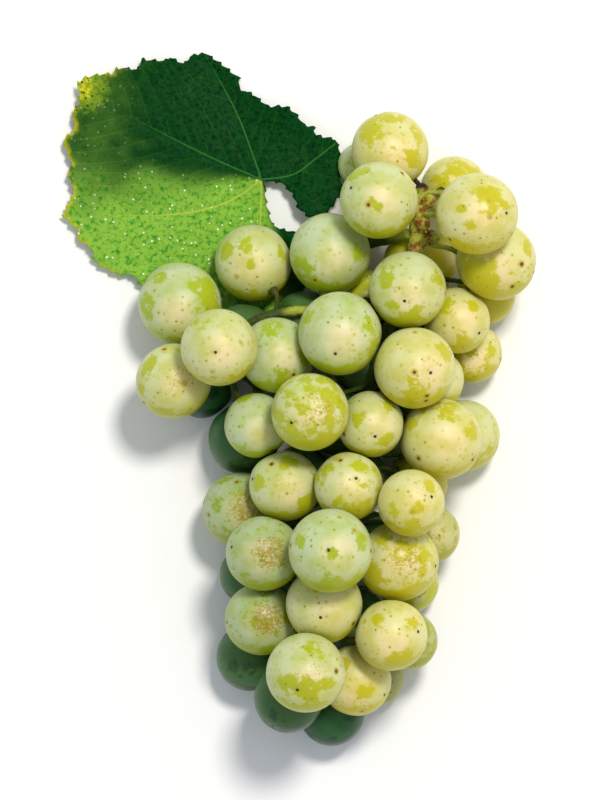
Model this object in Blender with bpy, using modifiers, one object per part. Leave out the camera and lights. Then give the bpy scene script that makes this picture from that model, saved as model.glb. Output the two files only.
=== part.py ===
"""A picked bunch of pale green grapes with one vine leaf, lying on its side on a flat surface.

The stalk, the leaf blade, its petiole and the piece of vine shoot that carries both are one object each.
Every berry is an object of its own. The berries at the back, which no one sees until the bunch is turned
over, are joined two by two.

Frame: +X across the bunch, +Y towards the stalk end, +Z up. The origin is the middle of the footprint,
on the surface. The tables and sizes are in millimetres, and MM turns them into Blender's metres.
"""

import heapq
import math

import bmesh
import bpy
import numpy as np
from mathutils import Vector, geometry

MM = 0.001

# Driving dimensions, in millimetres
BUNCH_LENGTH = 145.0
BUNCH_WIDTH = 89.0
BERRY_DIAMETER = 16.0
RACHIS_DIAMETER = 3.6
LATERAL_DIAMETER = 2.4
PEDUNCLE_DIAMETER = 3.0
PEDICEL_DIAMETER = 1.3
SHOOT_DIAMETER = 6.4
PETIOLE_DIAMETER = 2.2
LEAF_SPAN = 65.0
LEAF_THICKNESS = 0.5
CLEARANCE = 0.35
PRESS = 1.3

# The tables below are laid out for a bunch of this length and width, berries of this middling diameter,
# and a leaf of this span
TABLE_LENGTH = 145.0
TABLE_WIDTH = 89.0
TABLE_BERRY = 16.0
TABLE_SPAN = 65.0

# One row for each berry that shows: across, along, roughly how high, and its size beside a middling berry.
# They run from the stalk end to the tip, and settle() finds the exact heights.
SHOWN_BERRIES = [
    (21.2, 56.0, 17, 1.06), (18.5, 44.3, 28, 1.06), (14.6, 53.0, 6, 0.62), (36.0, 47.5, 18, 0.92),
    (40.5, 41.0, 33, 1.12), (45.0, 30.5, 21, 1.09), (25.0, 24.0, 30, 1.06), (28.0, 30.5, 9, 1.00),
    (36.5, 17.5, 20, 0.91), (39.5, 11.0, 8, 0.84), (43.0, 22.5, 8, 0.82), (7.5, 32.5, 17, 1.12),
    (-10.0, 30.5, 12, 1.06), (-26.5, 21.0, 11, 1.15), (-17.5, 11.0, 31, 1.06), (-4.5, 9.5, 20, 1.03),
    (10.0, 14.0, 31, 1.15), (-28.0, 3.5, 19, 1.03), (26.0, 6.5, 32, 1.12), (-21.5, 2.0, 7, 0.84),
    (-9.0, -7.0, 23, 0.88), (3.0, -3.5, 34, 1.06), (17.0, -7.0, 30, 0.91), (32.0, -9.5, 24, 1.12),
    (37.5, -9.5, 9, 1.00), (31.0, 4.0, 13, 0.84), (-12.0, -10.0, 9, 1.00), (-3.0, -20.0, 26, 0.97),
    (12.0, -19.5, 23, 0.94), (25.5, -24.0, 40, 0.91), (-12.3, -25.0, 9, 1.06), (7.5, -34.5, 42, 1.15),
    (-7.5, -35.5, 25, 1.03), (23.0, -37.1, 34, 1.10), (30.0, -31.0, 12, 0.82), (28.0, -19.5, 9, 0.84),
    (-8.0, -50.5, 18, 1.00), (7.0, -47.5, 25, 1.06), (20.3, -53.4, 28, 0.98), (25.0, -42.5, 8, 0.86),
    (25.0, -55.5, 8, 0.82), (-10.5, -59.5, 8, 0.94), (-10.5, -41.0, 7, 0.82), (2.0, -62.0, 32, 1.09),
    (13.3, -64.5, 18, 0.97), (-1.8, -68.5, 17, 0.96), (7.9, -72.5, 8, 0.90), (18.5, -64.5, 7, 0.72),
    (15.5, 21.5, 8, 0.84),
]
# The berries at the back. Those in one group press on each other and are one object.
BACK_GROUPS = [
    ((-12.0, 13.0, 8, 0.94), (1.0, 7.0, 8, 1.00)),
    ((16.0, 7.0, 8, 0.94), (28.0, 16.0, 8, 0.86)),
    ((3.0, -9.0, 8, 0.94), (19.0, -6.0, 8, 0.94)),
    ((1.0, -24.0, 8, 0.91), (13.0, -20.0, 8, 0.86)),
    ((19.0, -33.0, 8, 0.94), (6.0, -36.0, 8, 0.91)),
    ((1.0, -50.0, 8, 0.91), (13.0, -48.0, 8, 0.94)),
    ((-10.5, 1.5, 8, 0.80),),
]

# The stalk's main stems: across, along and up, in millimetres
RACHIS = [
    (27.8, 46.5, 20.0), (28.0, 41.0, 20.5), (27.0, 35.0, 20.0), (25.5, 28.0, 19.0), (22.5, 20.0, 18.7),
    (18.5, 8.0, 18.5), (14.0, -8.0, 18.5), (10.0, -22.0, 18.5), (8.0, -36.0, 18.5), (6.0, -50.0, 17.5),
    (5.0, -60.0, 14.5),
]
SHOULDER = [(22.5, 20.0, 18.7), (11.0, 19.5, 19.0), (0.0, 19.5, 18.5), (-9.0, 17.5, 18.5), (-17.0, 12.0, 17.5)]
PEDUNCLE = [(14.6, 35.0, 6.2), (18.0, 35.5, 9.0), (22.5, 36.5, 14.0), (27.3, 37.0, 20.0)]
SHOOT = [(6.5, 29.5, 3.8), (10.2, 35.0, 4.0), (15.0, 42.0, 3.8)]
PETIOLE = [(8.2, 38.6, 1.9), (4.5, 43.5, 1.5), (0.5, 47.5, 1.5), (-4.0, 50.4, 1.6), (-7.6, 50.4, 2.3)]

# The leaf: where the petiole meets the blade, and the outline round that point, tooth by tooth
LEAF_JUNCTION = (-8.2, 49.8)
LEAF_OUTLINE = [
    (-13.4, 29.6), (-5.1, 22.8), (1.6, 17.6), (6.0, 17.2), (9.9, 13.4), (16.9, 9.3), (19.4, 3.2), (17.6, -4.0),
    (14.6, -8.6), (10.9, -8.8), (8.6, -6.9), (7.2, -3.7), (4.4, -0.8), (0.8, -0.6), (1.2, -5.1), (2.3, -9.7),
    (4.2, -11.3), (8.2, -12.6), (10.4, -19.0), (9.6, -27.0), (6.0, -33.0), (-2.0, -35.0), (-10.0, -31.5),
    (-19.0, -29.5), (-28.0, -23.8), (-38.4, -18.5), (-45.6, -8.1), (-43.2, 0.0), (-45.6, 9.0), (-43.0, 15.0),
    (-42.1, 22.2), (-33.3, 25.7), (-22.4, 27.6),
]
LEAF_INNER_SPACING = 6.0

# The blade's underside lies BLADE_REST above the table. Over the petiole it rises by the petiole's own
# thickness and PETIOLE_LIFT, and it is down again ARCH_REACH to either side.
BLADE_REST = 0.05
PETIOLE_LIFT = 1.2
ARCH_REACH = 9.0

# How finely the round shapes are divided
BERRY_SEGMENTS = 12
BERRY_RINGS = 8
FINE_SIDES = 2
COARSE_SIDES = 1
RACHIS_TAPER = 0.4
STEM_STEP = 6.0
THIN_STEM_STEP = 4.0

BERRY_MATERIAL = ("berry_skin", (0.62, 0.66, 0.36, 1), 0.45)
STALK_MATERIAL = ("stalk_green", (0.42, 0.45, 0.12, 1), 0.7)
LEAF_MATERIAL = ("leaf_green", (0.12, 0.30, 0.06, 1), 0.55)
PETIOLE_MATERIAL = ("petiole_red_green", (0.30, 0.18, 0.08, 1), 0.6)
SHOOT_MATERIAL = ("shoot_bark", (0.25, 0.15, 0.07, 1), 0.8)


def clear_scene():
    for thing in list(bpy.data.objects):
        bpy.data.objects.remove(thing, do_unlink=True)


def material(name, colour, roughness):
    made = bpy.data.materials.new(name)
    made.use_nodes = True
    shader = made.node_tree.nodes["Principled BSDF"]
    shader.inputs["Base Color"].default_value = colour
    shader.inputs["Roughness"].default_value = roughness
    shader.inputs["Metallic"].default_value = 0.0
    return made


def add_object(name, mesh, collection, finish=None):
    thing = bpy.data.objects.new(name, mesh)
    collection.objects.link(thing)
    if finish:
        mesh.materials.append(finish)
    return thing


def bunch_place(row):
    """A row of a table, for a bunch of the driving length and width, as many berries high as in the table."""
    across, along, up = row[:3]
    return (
        across * BUNCH_WIDTH / TABLE_WIDTH,
        along * BUNCH_LENGTH / TABLE_LENGTH,
        up * BERRY_DIAMETER / TABLE_BERRY,
    )


def shoot_place(row):
    """A row of a table, for a piece that stays as far as it is from the middle of the shoot."""
    middle = SHOOT[len(SHOOT) // 2]
    moved = bunch_place(middle)
    return (row[0] + moved[0] - middle[0], row[1] + moved[1] - middle[1], row[2])


def along_stem(points, step):
    """Points every step or so along a smooth curve through the stem's own points."""
    knots = [Vector(point) for point in points]
    padded = [2 * knots[0] - knots[1]] + knots + [2 * knots[-1] - knots[-2]]
    found = []
    for before, start, end, after in zip(padded, padded[1:], padded[2:], padded[3:]):
        pieces = max(1, round((end - start).length / step))
        for piece in range(pieces):
            t = piece / pieces
            bend = (2 * before - 5 * start + 4 * end - after) * t**2
            bend += (3 * (start - end) + after - before) * t**3
            found.append(np.array(start + 0.5 * ((end - before) * t + bend)))
    return found + [np.array(knots[-1])]


# ---------------------------------------------------------------- the leaf's shape


def leaf_scale():
    return LEAF_SPAN / TABLE_SPAN


def leaf_outline():
    """The outline in the bunch's own frame."""
    corner = shoot_place((*LEAF_JUNCTION, 0))
    return [(corner[0] + x * leaf_scale(), corner[1] + y * leaf_scale()) for x, y in LEAF_OUTLINE]


def inside(outline, x, y):
    """Whether a point is inside the outline: it is if a ray from it crosses the edge an odd number of
    times."""
    crossings = 0
    for (ax, ay), (bx, by) in zip(outline, outline[1:] + outline[:1]):
        if (ay > y) != (by > y) and x < ax + (bx - ax) * (y - ay) / (by - ay):
            crossings += 1
    return crossings % 2 == 1


def distance_to_stem(stem, x, y):
    """The plan distance from a point to a stem."""
    nearest = math.inf
    for start, end in zip(stem, stem[1:]):
        dx, dy = end[0] - start[0], end[1] - start[1]
        t = max(0.0, min(1.0, ((x - start[0]) * dx + (y - start[1]) * dy) / max(dx * dx + dy * dy, 1e-9)))
        nearest = min(nearest, math.hypot(x - start[0] - t * dx, y - start[1] - t * dy))
    return nearest


def blade_height(petiole, x, y):
    """The height of the blade's underside: it lies on the surface and arches over its own petiole."""
    arch = PETIOLE_DIAMETER + PETIOLE_LIFT + CLEARANCE
    reach = distance_to_stem(petiole, x, y) / ARCH_REACH
    return BLADE_REST + arch * math.exp(-reach * reach)


# ---------------------------------------------------------------- how the berries lie


class Bunch:
    """The berries' centres and radii, worked out from the tables by letting the berries settle.

    A berry that shows gives way sideways by only SIDE_GIVE of a push, and slides back home by HOME_PULL of
    the way in each round, so that the bunch keeps its look from above. A hidden one moves freely."""

    SIDE_GIVE = 0.25
    HOME_PULL = 0.18
    HIDDEN_PULL = 0.01
    LAST_PULL = 0.1
    SINK = 0.12
    SINKING_ROUNDS = 450
    PARTING_ROUNDS = 350
    BERRY_SHARE = 0.3
    PAIR_SHARE = 0.5
    STEM_SHARE = 0.8
    TOLERANCE = 0.02
    LOOK_SHARES = (0.0, 0.2, 0.4, 0.6, 0.8)
    LOOK_TURNS = 16

    def __init__(self):
        rows = SHOWN_BERRIES + [berry for group in BACK_GROUPS for berry in group]
        self.shown = len(SHOWN_BERRIES)
        self.group = [None] * self.shown
        for number, group in enumerate(BACK_GROUPS):
            self.group += [number] * len(group)
        self.centres = np.array([bunch_place(row) for row in rows], float)
        self.radii = np.array([row[3] * BERRY_DIAMETER / 2 for row in rows])
        self.home = self.centres[:, :2].copy()
        self.stems = main_stems()
        self.first, self.second = np.triu_indices(len(self.radii), 1)
        self.joined = np.array([self.pressed(i, j) for i, j in zip(self.first, self.second)])
        self.floor = self.lowest_heights()
        self.settle()

    def lowest_heights(self):
        """How low each centre may come: its radius, or more where it lies on the leaf blade."""
        outline = leaf_outline()
        petiole = [shoot_place(point) for point in PETIOLE]
        lowest = self.radii.copy()
        for i, (x, y) in enumerate(self.home):
            for share in self.LOOK_SHARES:
                off = share * self.radii[i]
                cap = math.sqrt(self.radii[i] ** 2 - off * off)
                for turn in range(self.LOOK_TURNS):
                    px = x + off * math.cos(turn * math.tau / self.LOOK_TURNS)
                    py = y + off * math.sin(turn * math.tau / self.LOOK_TURNS)
                    if inside(outline, px, py):
                        top = blade_height(petiole, px, py) + LEAF_THICKNESS + CLEARANCE
                        lowest[i] = max(lowest[i], top + cap)
        return lowest

    def pressed(self, i, j):
        """Whether two berries are of one group."""
        return self.group[i] is not None and self.group[i] == self.group[j]

    def part_berries(self):
        """Moves each two berries that are too close apart, mostly up and down where both show."""
        first, second = self.first, self.second
        room = self.radii[first] + self.radii[second] + np.where(self.joined, -PRESS, CLEARANCE)
        apart = self.centres[first] - self.centres[second]
        length = np.linalg.norm(apart, axis=1)
        short = room - length
        tight = (short > 0) | self.joined
        share = np.where(self.joined, self.PAIR_SHARE, self.BERRY_SHARE)
        move = (share * short / length)[tight, None] * apart[tight]
        for which, sign in ((first[tight], 1.0), (second[tight], -1.0)):
            step = sign * move
            step[:, :2] *= np.where(which < self.shown, self.SIDE_GIVE, 1.0)[:, None]
            np.add.at(self.centres, which, step)

    def clear_stems(self):
        """Moves each berry that touches a main stem away from it."""
        for points, radius in self.stems:
            for start, end in zip(points, points[1:]):
                along = end - start
                share = np.clip((self.centres - start) @ along / (along @ along), 0, 1)
                off = self.centres - start - share[:, None] * along
                length = np.linalg.norm(off, axis=1)
                short = np.maximum(self.radii + radius + CLEARANCE - length, 0)
                move = (self.STEM_SHARE * short / length)[:, None] * off
                move[: self.shown, :2] *= self.SIDE_GIVE
                self.centres += move

    def settle(self):
        """Lets the berries sink, part and slide home in small steps, then parts them with no more sinking."""
        shows = np.arange(len(self.radii)) < self.shown
        home_pull = np.where(shows, self.HOME_PULL, self.HIDDEN_PULL)[:, None]
        sinking = (self.SINK, home_pull, self.SINKING_ROUNDS)
        parting = (0.0, self.LAST_PULL * home_pull, self.PARTING_ROUNDS)
        for sink, pull, rounds in (sinking, parting):
            for _ in range(rounds):
                self.centres[:, 2] -= sink
                self.centres[:, :2] += pull * (self.home - self.centres[:, :2])
                for _ in range(3):
                    self.part_berries()
                    self.clear_stems()
                    self.centres[:, 2] = np.maximum(self.centres[:, 2], self.floor)
        self.lift_the_last_overlaps()

    def lift_the_last_overlaps(self):
        """Takes the berries from the lowest up, and lifts each one just clear of those it still touches."""
        order = np.argsort(self.centres[:, 2])
        for place, i in enumerate(order):
            for j in order[:place]:
                room = self.radii[i] + self.radii[j] + CLEARANCE
                near = math.dist(self.centres[i], self.centres[j]) < room - self.TOLERANCE
                if near and not self.pressed(i, j):
                    plan = math.dist(self.centres[i, :2], self.centres[j, :2])
                    self.centres[i, 2] = self.centres[j, 2] + math.sqrt(room * room - plan * plan)


def main_stems():
    """The stems that the berries keep clear of, each as its points and its radius."""
    low, *middle, high = PEDUNCLE
    peduncle = [shoot_place(low)] + [bunch_place(point) for point in middle + [high]]
    return [
        (along_stem(points, STEM_STEP), diameter / 2)
        for points, diameter in (
            ([bunch_place(point) for point in RACHIS], RACHIS_DIAMETER),
            ([bunch_place(point) for point in SHOULDER], LATERAL_DIAMETER),
            (peduncle, PEDUNCLE_DIAMETER),
            ([shoot_place(point) for point in SHOOT], SHOOT_DIAMETER),
        )
    ]


# ---------------------------------------------------------------- the stalk's pedicels


class StalkTree:
    """The stalk as a tree of points. Its roots lie on the main stems, and a pedicel finds its way to each
    berry through the gaps between the others, over a grid of small steps.

    A pedicel stays SURFACE_ROOM above the table and off the shoot. It may start up to SQUEEZE too close to
    a berry, since smooth() moves it off. A step through a tight gap costs up to TIGHT_PRICE more. A pedicel
    ends END_LENGTH of straight stem from its berry, after a grid point within WAY_IN of the berry's skin."""

    GRID = 1.25
    LONGEST_LOOK = 5.0
    SURFACE_ROOM = 1.0
    SQUEEZE = 0.15
    TIGHT_PRICE = 3.0
    TIGHT_REACH = 0.6
    WAY_IN = (0.6, 2.9)
    END_LENGTH = 1.8
    SMOOTHINGS = 60
    SMOOTH_STEP = 0.5
    SPARE = 0.15
    WIDTH_POWER = 0.3
    THINNEST = 0.4

    def __init__(self, bunch):
        self.bunch = bunch
        self.points = []
        self.parents = []
        self.roots = [point for points, _ in main_stems()[:2] for point in points]
        self.low = self.bunch.centres.min(axis=0) - 10
        self.shape = np.ceil((self.bunch.centres.max(axis=0) + 10 - self.low) / self.GRID).astype(int)
        self.room = self.measure_room()
        self.costs, self.steps_back = self.spread_from_roots()
        self.tips = {}
        self.grow()
        self.smooth()

    def place(self, cell):
        return self.low + self.GRID * np.array(cell)

    def measure_room(self):
        """How far each grid point is from the nearest berry, or from the leaf, the shoot or the table."""
        axes = [self.low[k] + self.GRID * np.arange(self.shape[k]) for k in range(3)]
        grid = np.stack(np.meshgrid(*axes, indexing="ij"), axis=-1)
        room = grid[..., 2] - self.SURFACE_ROOM
        for centre, radius in zip(self.bunch.centres, self.bunch.radii):
            room = np.minimum(room, np.linalg.norm(grid - centre, axis=-1) - radius)
        shoot, shoot_radius = main_stems()[3]
        for point in shoot:
            off = np.linalg.norm(grid - point, axis=-1) - shoot_radius
            room = np.minimum(room, off - self.SURFACE_ROOM)
        outline = leaf_outline()
        petiole = [shoot_place(point) for point in PETIOLE]
        for i, x in enumerate(axes[0]):
            for j, y in enumerate(axes[1]):
                if inside(outline, x, y):
                    top = blade_height(petiole, x, y) + LEAF_THICKNESS
                    room[i, j] = np.minimum(room[i, j], axes[2] - top)
        return room

    def spread_from_roots(self):
        """The cheapest way from the main stems to every free grid point, by wide gaps where it can."""
        needed = PEDICEL_DIAMETER / 2 + CLEARANCE - self.SQUEEZE
        free = (self.room > needed) & (self.room < self.LONGEST_LOOK)
        free[[0, -1], :, :] = free[:, [0, -1], :] = free[:, :, [0, -1]] = False
        price = 1 + self.TIGHT_PRICE * np.exp(-(self.room - needed) / self.TIGHT_REACH)
        costs = np.full(self.shape, np.inf)
        steps_back = {}
        queue = []
        for number, root in enumerate(self.roots):
            cell = tuple(np.round((root - self.low) / self.GRID).astype(int))
            costs[cell] = 0.0
            steps_back[cell] = number
            heapq.heappush(queue, (0.0, cell))
        steps = (-1, 0, 1)
        near = [(a, b, c) for a in steps for b in steps for c in steps if (a, b, c) != (0, 0, 0)]
        lengths = [self.GRID * math.sqrt(a * a + b * b + c * c) for a, b, c in near]
        while queue:
            cost, cell = heapq.heappop(queue)
            if cost > costs[cell]:
                continue
            for (a, b, c), length in zip(near, lengths):
                beside = (cell[0] + a, cell[1] + b, cell[2] + c)
                if free[beside]:
                    total = cost + length * price[beside]
                    if total < costs[beside]:
                        costs[beside] = total
                        steps_back[beside] = cell
                        heapq.heappush(queue, (total, beside))
        return costs, steps_back

    def nearest_way_in(self, centre, radius):
        """The grid point just off a berry's skin that is cheapest to reach."""
        nearest, farthest = self.WAY_IN
        reach = math.ceil((radius + farthest) / self.GRID)
        middle = np.round((centre - self.low) / self.GRID).astype(int)
        start = np.maximum(middle - reach, 0)
        stop = np.minimum(middle + reach + 1, self.shape)
        block = self.costs[start[0] : stop[0], start[1] : stop[1], start[2] : stop[2]].copy()
        cells = np.stack(np.meshgrid(*[np.arange(a, b) for a, b in zip(start, stop)], indexing="ij"), axis=-1)
        off = np.linalg.norm(self.low + self.GRID * cells - centre, axis=-1) - radius
        block[(off < nearest) | (off > farthest)] = np.inf
        best = np.unravel_index(np.argmin(block), block.shape)
        return tuple(cells[best])

    def add(self, point, parent):
        self.points.append(np.array(point, float))
        self.parents.append(parent)
        return len(self.points) - 1

    def grow(self):
        """Adds the way to each berry. Ways that meet share their points from there to the main stem."""
        known = {}
        for number, root in enumerate(self.roots):
            known[number] = self.add(root, None)
        for i, (centre, radius) in enumerate(zip(self.bunch.centres, self.bunch.radii)):
            cell = self.nearest_way_in(centre, radius)
            way = []
            while cell not in known:
                way.append(cell)
                cell = self.steps_back[cell]
            node = known[cell]
            for step in reversed(way):
                node = self.add(self.place(step), node)
                known[step] = node
            outward = self.points[node] - centre
            outward /= np.linalg.norm(outward)
            if way:
                self.points[node] = centre + outward * (radius + CLEARANCE + self.END_LENGTH)
            tip = self.add(centre + outward * (radius + CLEARANCE), node)
            self.tips[i] = tip

    def smooth(self):
        """Draws each way as straight as the berries let it, with its radius by how many berries it holds."""
        count = len(self.points)
        carried = np.zeros(count)
        for tip in self.tips.values():
            node = tip
            while node is not None:
                carried[node] += 1
                node = self.parents[node]
        self.carried = carried
        fixed = np.zeros(count, bool)
        fixed[: len(self.roots)] = True
        fixed[list(self.tips.values())] = True
        fixed[[self.parents[tip] for tip in self.tips.values()]] = True
        self.widths = np.minimum(PEDICEL_DIAMETER / 2 * carried**self.WIDTH_POWER, LATERAL_DIAMETER / 2)
        places = np.array(self.points)
        links = [(i, p) for i, p in enumerate(self.parents) if p is not None]
        child = np.array([i for i, _ in links])
        parent = np.array([p for _, p in links])
        for _ in range(self.SMOOTHINGS):
            total = np.zeros_like(places)
            weight = np.zeros(count)
            np.add.at(total, child, places[parent] * carried[child][:, None])
            np.add.at(weight, child, carried[child])
            np.add.at(total, parent, places[child] * carried[child][:, None])
            np.add.at(weight, parent, carried[child])
            middle = total / np.maximum(weight, 1)[:, None]
            places[~fixed] += self.SMOOTH_STEP * (middle - places)[~fixed]
            for centre, radius in zip(self.bunch.centres, self.bunch.radii):
                off = places - centre
                length = np.linalg.norm(off, axis=1)
                short = radius + self.widths + CLEARANCE + self.SPARE - length
                push = (short > 0) & ~fixed
                places[push] += (short / length)[push, None] * off[push]
        self.points = list(places)
        self.fit_widths()

    def fit_widths(self):
        """Thins each way where the gap that it passes through is tight."""
        for i, point in enumerate(self.points):
            if i in self.tips.values():
                continue
            gaps = np.linalg.norm(self.bunch.centres - point, axis=1) - self.bunch.radii
            self.widths[i] = max(self.THINNEST, min(self.widths[i], gaps.min() - CLEARANCE))

    def chains(self):
        """The tree as open runs of (point, radius). Each run starts inside the one that it leaves."""
        children = {}
        for i, parent in enumerate(self.parents):
            if parent is not None:
                children.setdefault(parent, []).append(i)
        runs = []
        waiting = [(root, child) for root in range(len(self.roots)) for child in children.get(root, [])]
        while waiting:
            start, node = waiting.pop()
            run = [start, node]
            while node in children:
                heaviest = max(children[node], key=lambda i: (self.carried[i], -i))
                waiting += [(node, other) for other in children[node] if other != heaviest]
                node = heaviest
                run.append(node)
            radii = [self.widths[i] for i in run]
            radii[0] = radii[1]
            runs.append(([self.points[i] for i in run], radii))
        return [thinned(points, radii) for points, radii in runs]


def thinned(points, radii):
    """Every second point of a run, with both of its ends and the point before the last."""
    kept = [i for i in range(len(points)) if i % 2 == 0 or i >= len(points) - 2 or len(points) < 5]
    return [points[i] for i in kept], [radii[i] for i in kept]


# ---------------------------------------------------------------- the solids


def tube(name, points, radii, sides, collection, finish=None):
    """A closed round bar through points in millimetres, as a mesh object with welded caps."""
    curve = bpy.data.curves.new(name, "CURVE")
    curve.dimensions = "3D"
    curve.bevel_depth = MM
    curve.bevel_resolution = sides
    curve.use_fill_caps = True
    spline = curve.splines.new("POLY")
    spline.points.add(len(points) - 1)
    for knot, point, radius in zip(spline.points, points, radii):
        knot.co = (*(Vector(point) * MM), 1)
        knot.radius = radius
    guide = bpy.data.objects.new(name + "_route", curve)
    bpy.context.scene.collection.objects.link(guide)
    bpy.context.view_layer.update()
    mesh = bpy.data.meshes.new_from_object(guide.evaluated_get(bpy.context.evaluated_depsgraph_get()))
    bpy.data.objects.remove(guide, do_unlink=True)
    shape = bmesh.new()
    shape.from_mesh(mesh)
    bmesh.ops.remove_doubles(shape, verts=shape.verts, dist=1e-6)
    bmesh.ops.recalc_face_normals(shape, faces=shape.faces)
    shape.to_mesh(mesh)
    shape.free()
    mesh.materials.clear()
    mesh.shade_smooth()
    return add_object(name, mesh, collection, finish)


def ball(name, centre, radius, towards, collection, finish=None):
    """A berry: a round body with one pole towards its pedicel."""
    shape = bmesh.new()
    bmesh.ops.create_uvsphere(shape, u_segments=BERRY_SEGMENTS, v_segments=BERRY_RINGS, radius=radius * MM)
    mesh = bpy.data.meshes.new(name)
    shape.to_mesh(mesh)
    shape.free()
    mesh.shade_smooth()
    thing = add_object(name, mesh, collection, finish)
    thing.rotation_mode = "QUATERNION"
    thing.rotation_quaternion = Vector(towards).to_track_quat("Z", "Y")
    thing.location = Vector(centre) * MM
    return thing


def join(thing, others):
    """Adds other closed objects to this one, and leaves them out of the model themselves."""
    for number, other in enumerate(others):
        other.hide_render = True
        other.display_type = "WIRE"
        union = thing.modifiers.new(f"join_{number}", "BOOLEAN")
        union.operation = "UNION"
        union.solver = "MANIFOLD"
        union.object = other


def make_stalk(tree, parts, helpers, finish):
    """The peduncle, the rachis, the shoulder branch and every pedicel, grown together as one piece."""
    (rachis, rachis_radius), (shoulder, shoulder_radius), (peduncle, peduncle_radius), _ = main_stems()
    taper = [rachis_radius * (1.0 - RACHIS_TAPER * i / (len(rachis) - 1)) for i in range(len(rachis))]
    stalk = tube("stalk", rachis, taper, FINE_SIDES, parts, finish)
    shoulder_radii = [shoulder_radius] * len(shoulder)
    sides = [tube("shoulder_branch", shoulder, shoulder_radii, COARSE_SIDES, helpers)]
    peduncle_radii = [peduncle_radius] * len(peduncle)
    sides.append(tube("peduncle", peduncle, peduncle_radii, COARSE_SIDES, helpers))
    for number, (points, radii) in enumerate(tree.chains()):
        sides.append(tube(f"pedicel_{number:02d}", points, radii, COARSE_SIDES, helpers))
    join(stalk, sides)
    return stalk


def make_berries(bunch, tree, parts, helpers, finish):
    made = []
    for i in range(len(bunch.radii)):
        towards = tree.points[tree.tips[i]] - bunch.centres[i]
        group = bunch.group[i]
        if group is None:
            made.append(ball(f"berry_{i + 1:02d}", bunch.centres[i], bunch.radii[i], towards, parts, finish))
        elif group != bunch.group[i - 1]:
            first = ball(f"back_berries_{group + 1}", bunch.centres[i], bunch.radii[i], towards, parts, finish)
            made.append(first)
        else:
            other = ball(f"back_half_{group + 1}", bunch.centres[i], bunch.radii[i], towards, helpers)
            join(first, [other])
    return made


def make_leaf(parts, finish):
    """The blade: a thin sheet of triangles inside the outline, arched over its petiole and then thickened."""
    outline = leaf_outline()
    petiole = [shoot_place(point) for point in PETIOLE]
    spacing = LEAF_INNER_SPACING * leaf_scale()
    low = [min(point[k] for point in outline) for k in (0, 1)]
    high = [max(point[k] for point in outline) for k in (0, 1)]
    inner = []
    for row in range(int((high[1] - low[1]) / spacing) + 1):
        for column in range(int((high[0] - low[0]) / spacing) + 1):
            x = low[0] + (column + 0.5 * (row % 2)) * spacing
            y = low[1] + row * spacing
            rim = distance_to_stem(outline + outline[:1], x, y)
            if inside(outline, x, y) and rim > 0.4 * spacing:
                inner.append((x, y))
    ring = [(i, (i + 1) % len(outline)) for i in range(len(outline))]
    flat = [Vector(point) for point in outline + inner]
    points, _, faces, _, _, _ = geometry.delaunay_2d_cdt(flat, ring, [], 1, 1e-6)
    mesh = bpy.data.meshes.new("leaf_blade")
    lifted = [(p.x * MM, p.y * MM, blade_height(petiole, p.x, p.y) * MM) for p in points]
    mesh.from_pydata(lifted, [], faces)
    shape = bmesh.new()
    shape.from_mesh(mesh)
    bmesh.ops.recalc_face_normals(shape, faces=shape.faces)
    if sum(face.normal.z for face in shape.faces) < 0:
        bmesh.ops.reverse_faces(shape, faces=shape.faces)
    shape.to_mesh(mesh)
    shape.free()
    mesh.shade_smooth()
    blade = add_object("leaf_blade", mesh, parts, finish)
    thicken = blade.modifiers.new("thickness", "SOLIDIFY")
    thicken.thickness = LEAF_THICKNESS * MM
    thicken.offset = 1.0
    return blade


def make_stem(name, points, diameter, parts, finish):
    smooth_points = along_stem([shoot_place(point) for point in points], THIN_STEM_STEP)
    return tube(name, smooth_points, [diameter / 2] * len(smooth_points), FINE_SIDES, parts, finish)


def stand_on_origin(things, measured):
    """Puts everything under one empty, with the middle of the footprint at the origin."""
    bpy.context.view_layer.update()
    graph = bpy.context.evaluated_depsgraph_get()
    lows, highs = [], []
    for thing in measured:
        shape = thing.evaluated_get(graph)
        points = np.array([thing.matrix_world @ vertex.co for vertex in shape.to_mesh().vertices])
        lows.append(points.min(axis=0))
        highs.append(points.max(axis=0))
        shape.to_mesh_clear()
    low, high = np.min(lows, axis=0), np.max(highs, axis=0)
    bunch_origin = bpy.data.objects.new("bunch_origin", None)
    bpy.context.scene.collection.objects.link(bunch_origin)
    for thing in things:
        thing.parent = bunch_origin
    bunch_origin.location = (-(low[0] + high[0]) / 2, -(low[1] + high[1]) / 2, -low[2])
    bpy.context.view_layer.update()


def main():
    clear_scene()
    parts = bpy.data.collections.new("bunch_of_grapes")
    helpers = bpy.data.collections.new("helpers")
    for collection in (parts, helpers):
        bpy.context.scene.collection.children.link(collection)
    bunch = Bunch()
    tree = StalkTree(bunch)
    stalk = make_stalk(tree, parts, helpers, material(*STALK_MATERIAL))
    berries = make_berries(bunch, tree, parts, helpers, material(*BERRY_MATERIAL))
    leaf = make_leaf(parts, material(*LEAF_MATERIAL))
    petiole = make_stem("leaf_petiole", PETIOLE, PETIOLE_DIAMETER, parts, material(*PETIOLE_MATERIAL))
    shoot = make_stem("vine_shoot", SHOOT, SHOOT_DIAMETER, parts, material(*SHOOT_MATERIAL))
    everything = list(parts.objects) + list(helpers.objects)
    stand_on_origin(everything, [stalk, leaf, petiole, shoot, *berries])


main()
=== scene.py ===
# %% [markdown]
# # A bunch of pale green grapes
#
# A picked bunch lies on its side on a pale table, with one vine leaf still at its stalk end. The CAD model
# holds every real size: round berries, a bare stalk and a flat leaf. This script gives those pieces their
# looks, one after another, and measures each of them from the CAD model instead of writing its place down.

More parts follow.
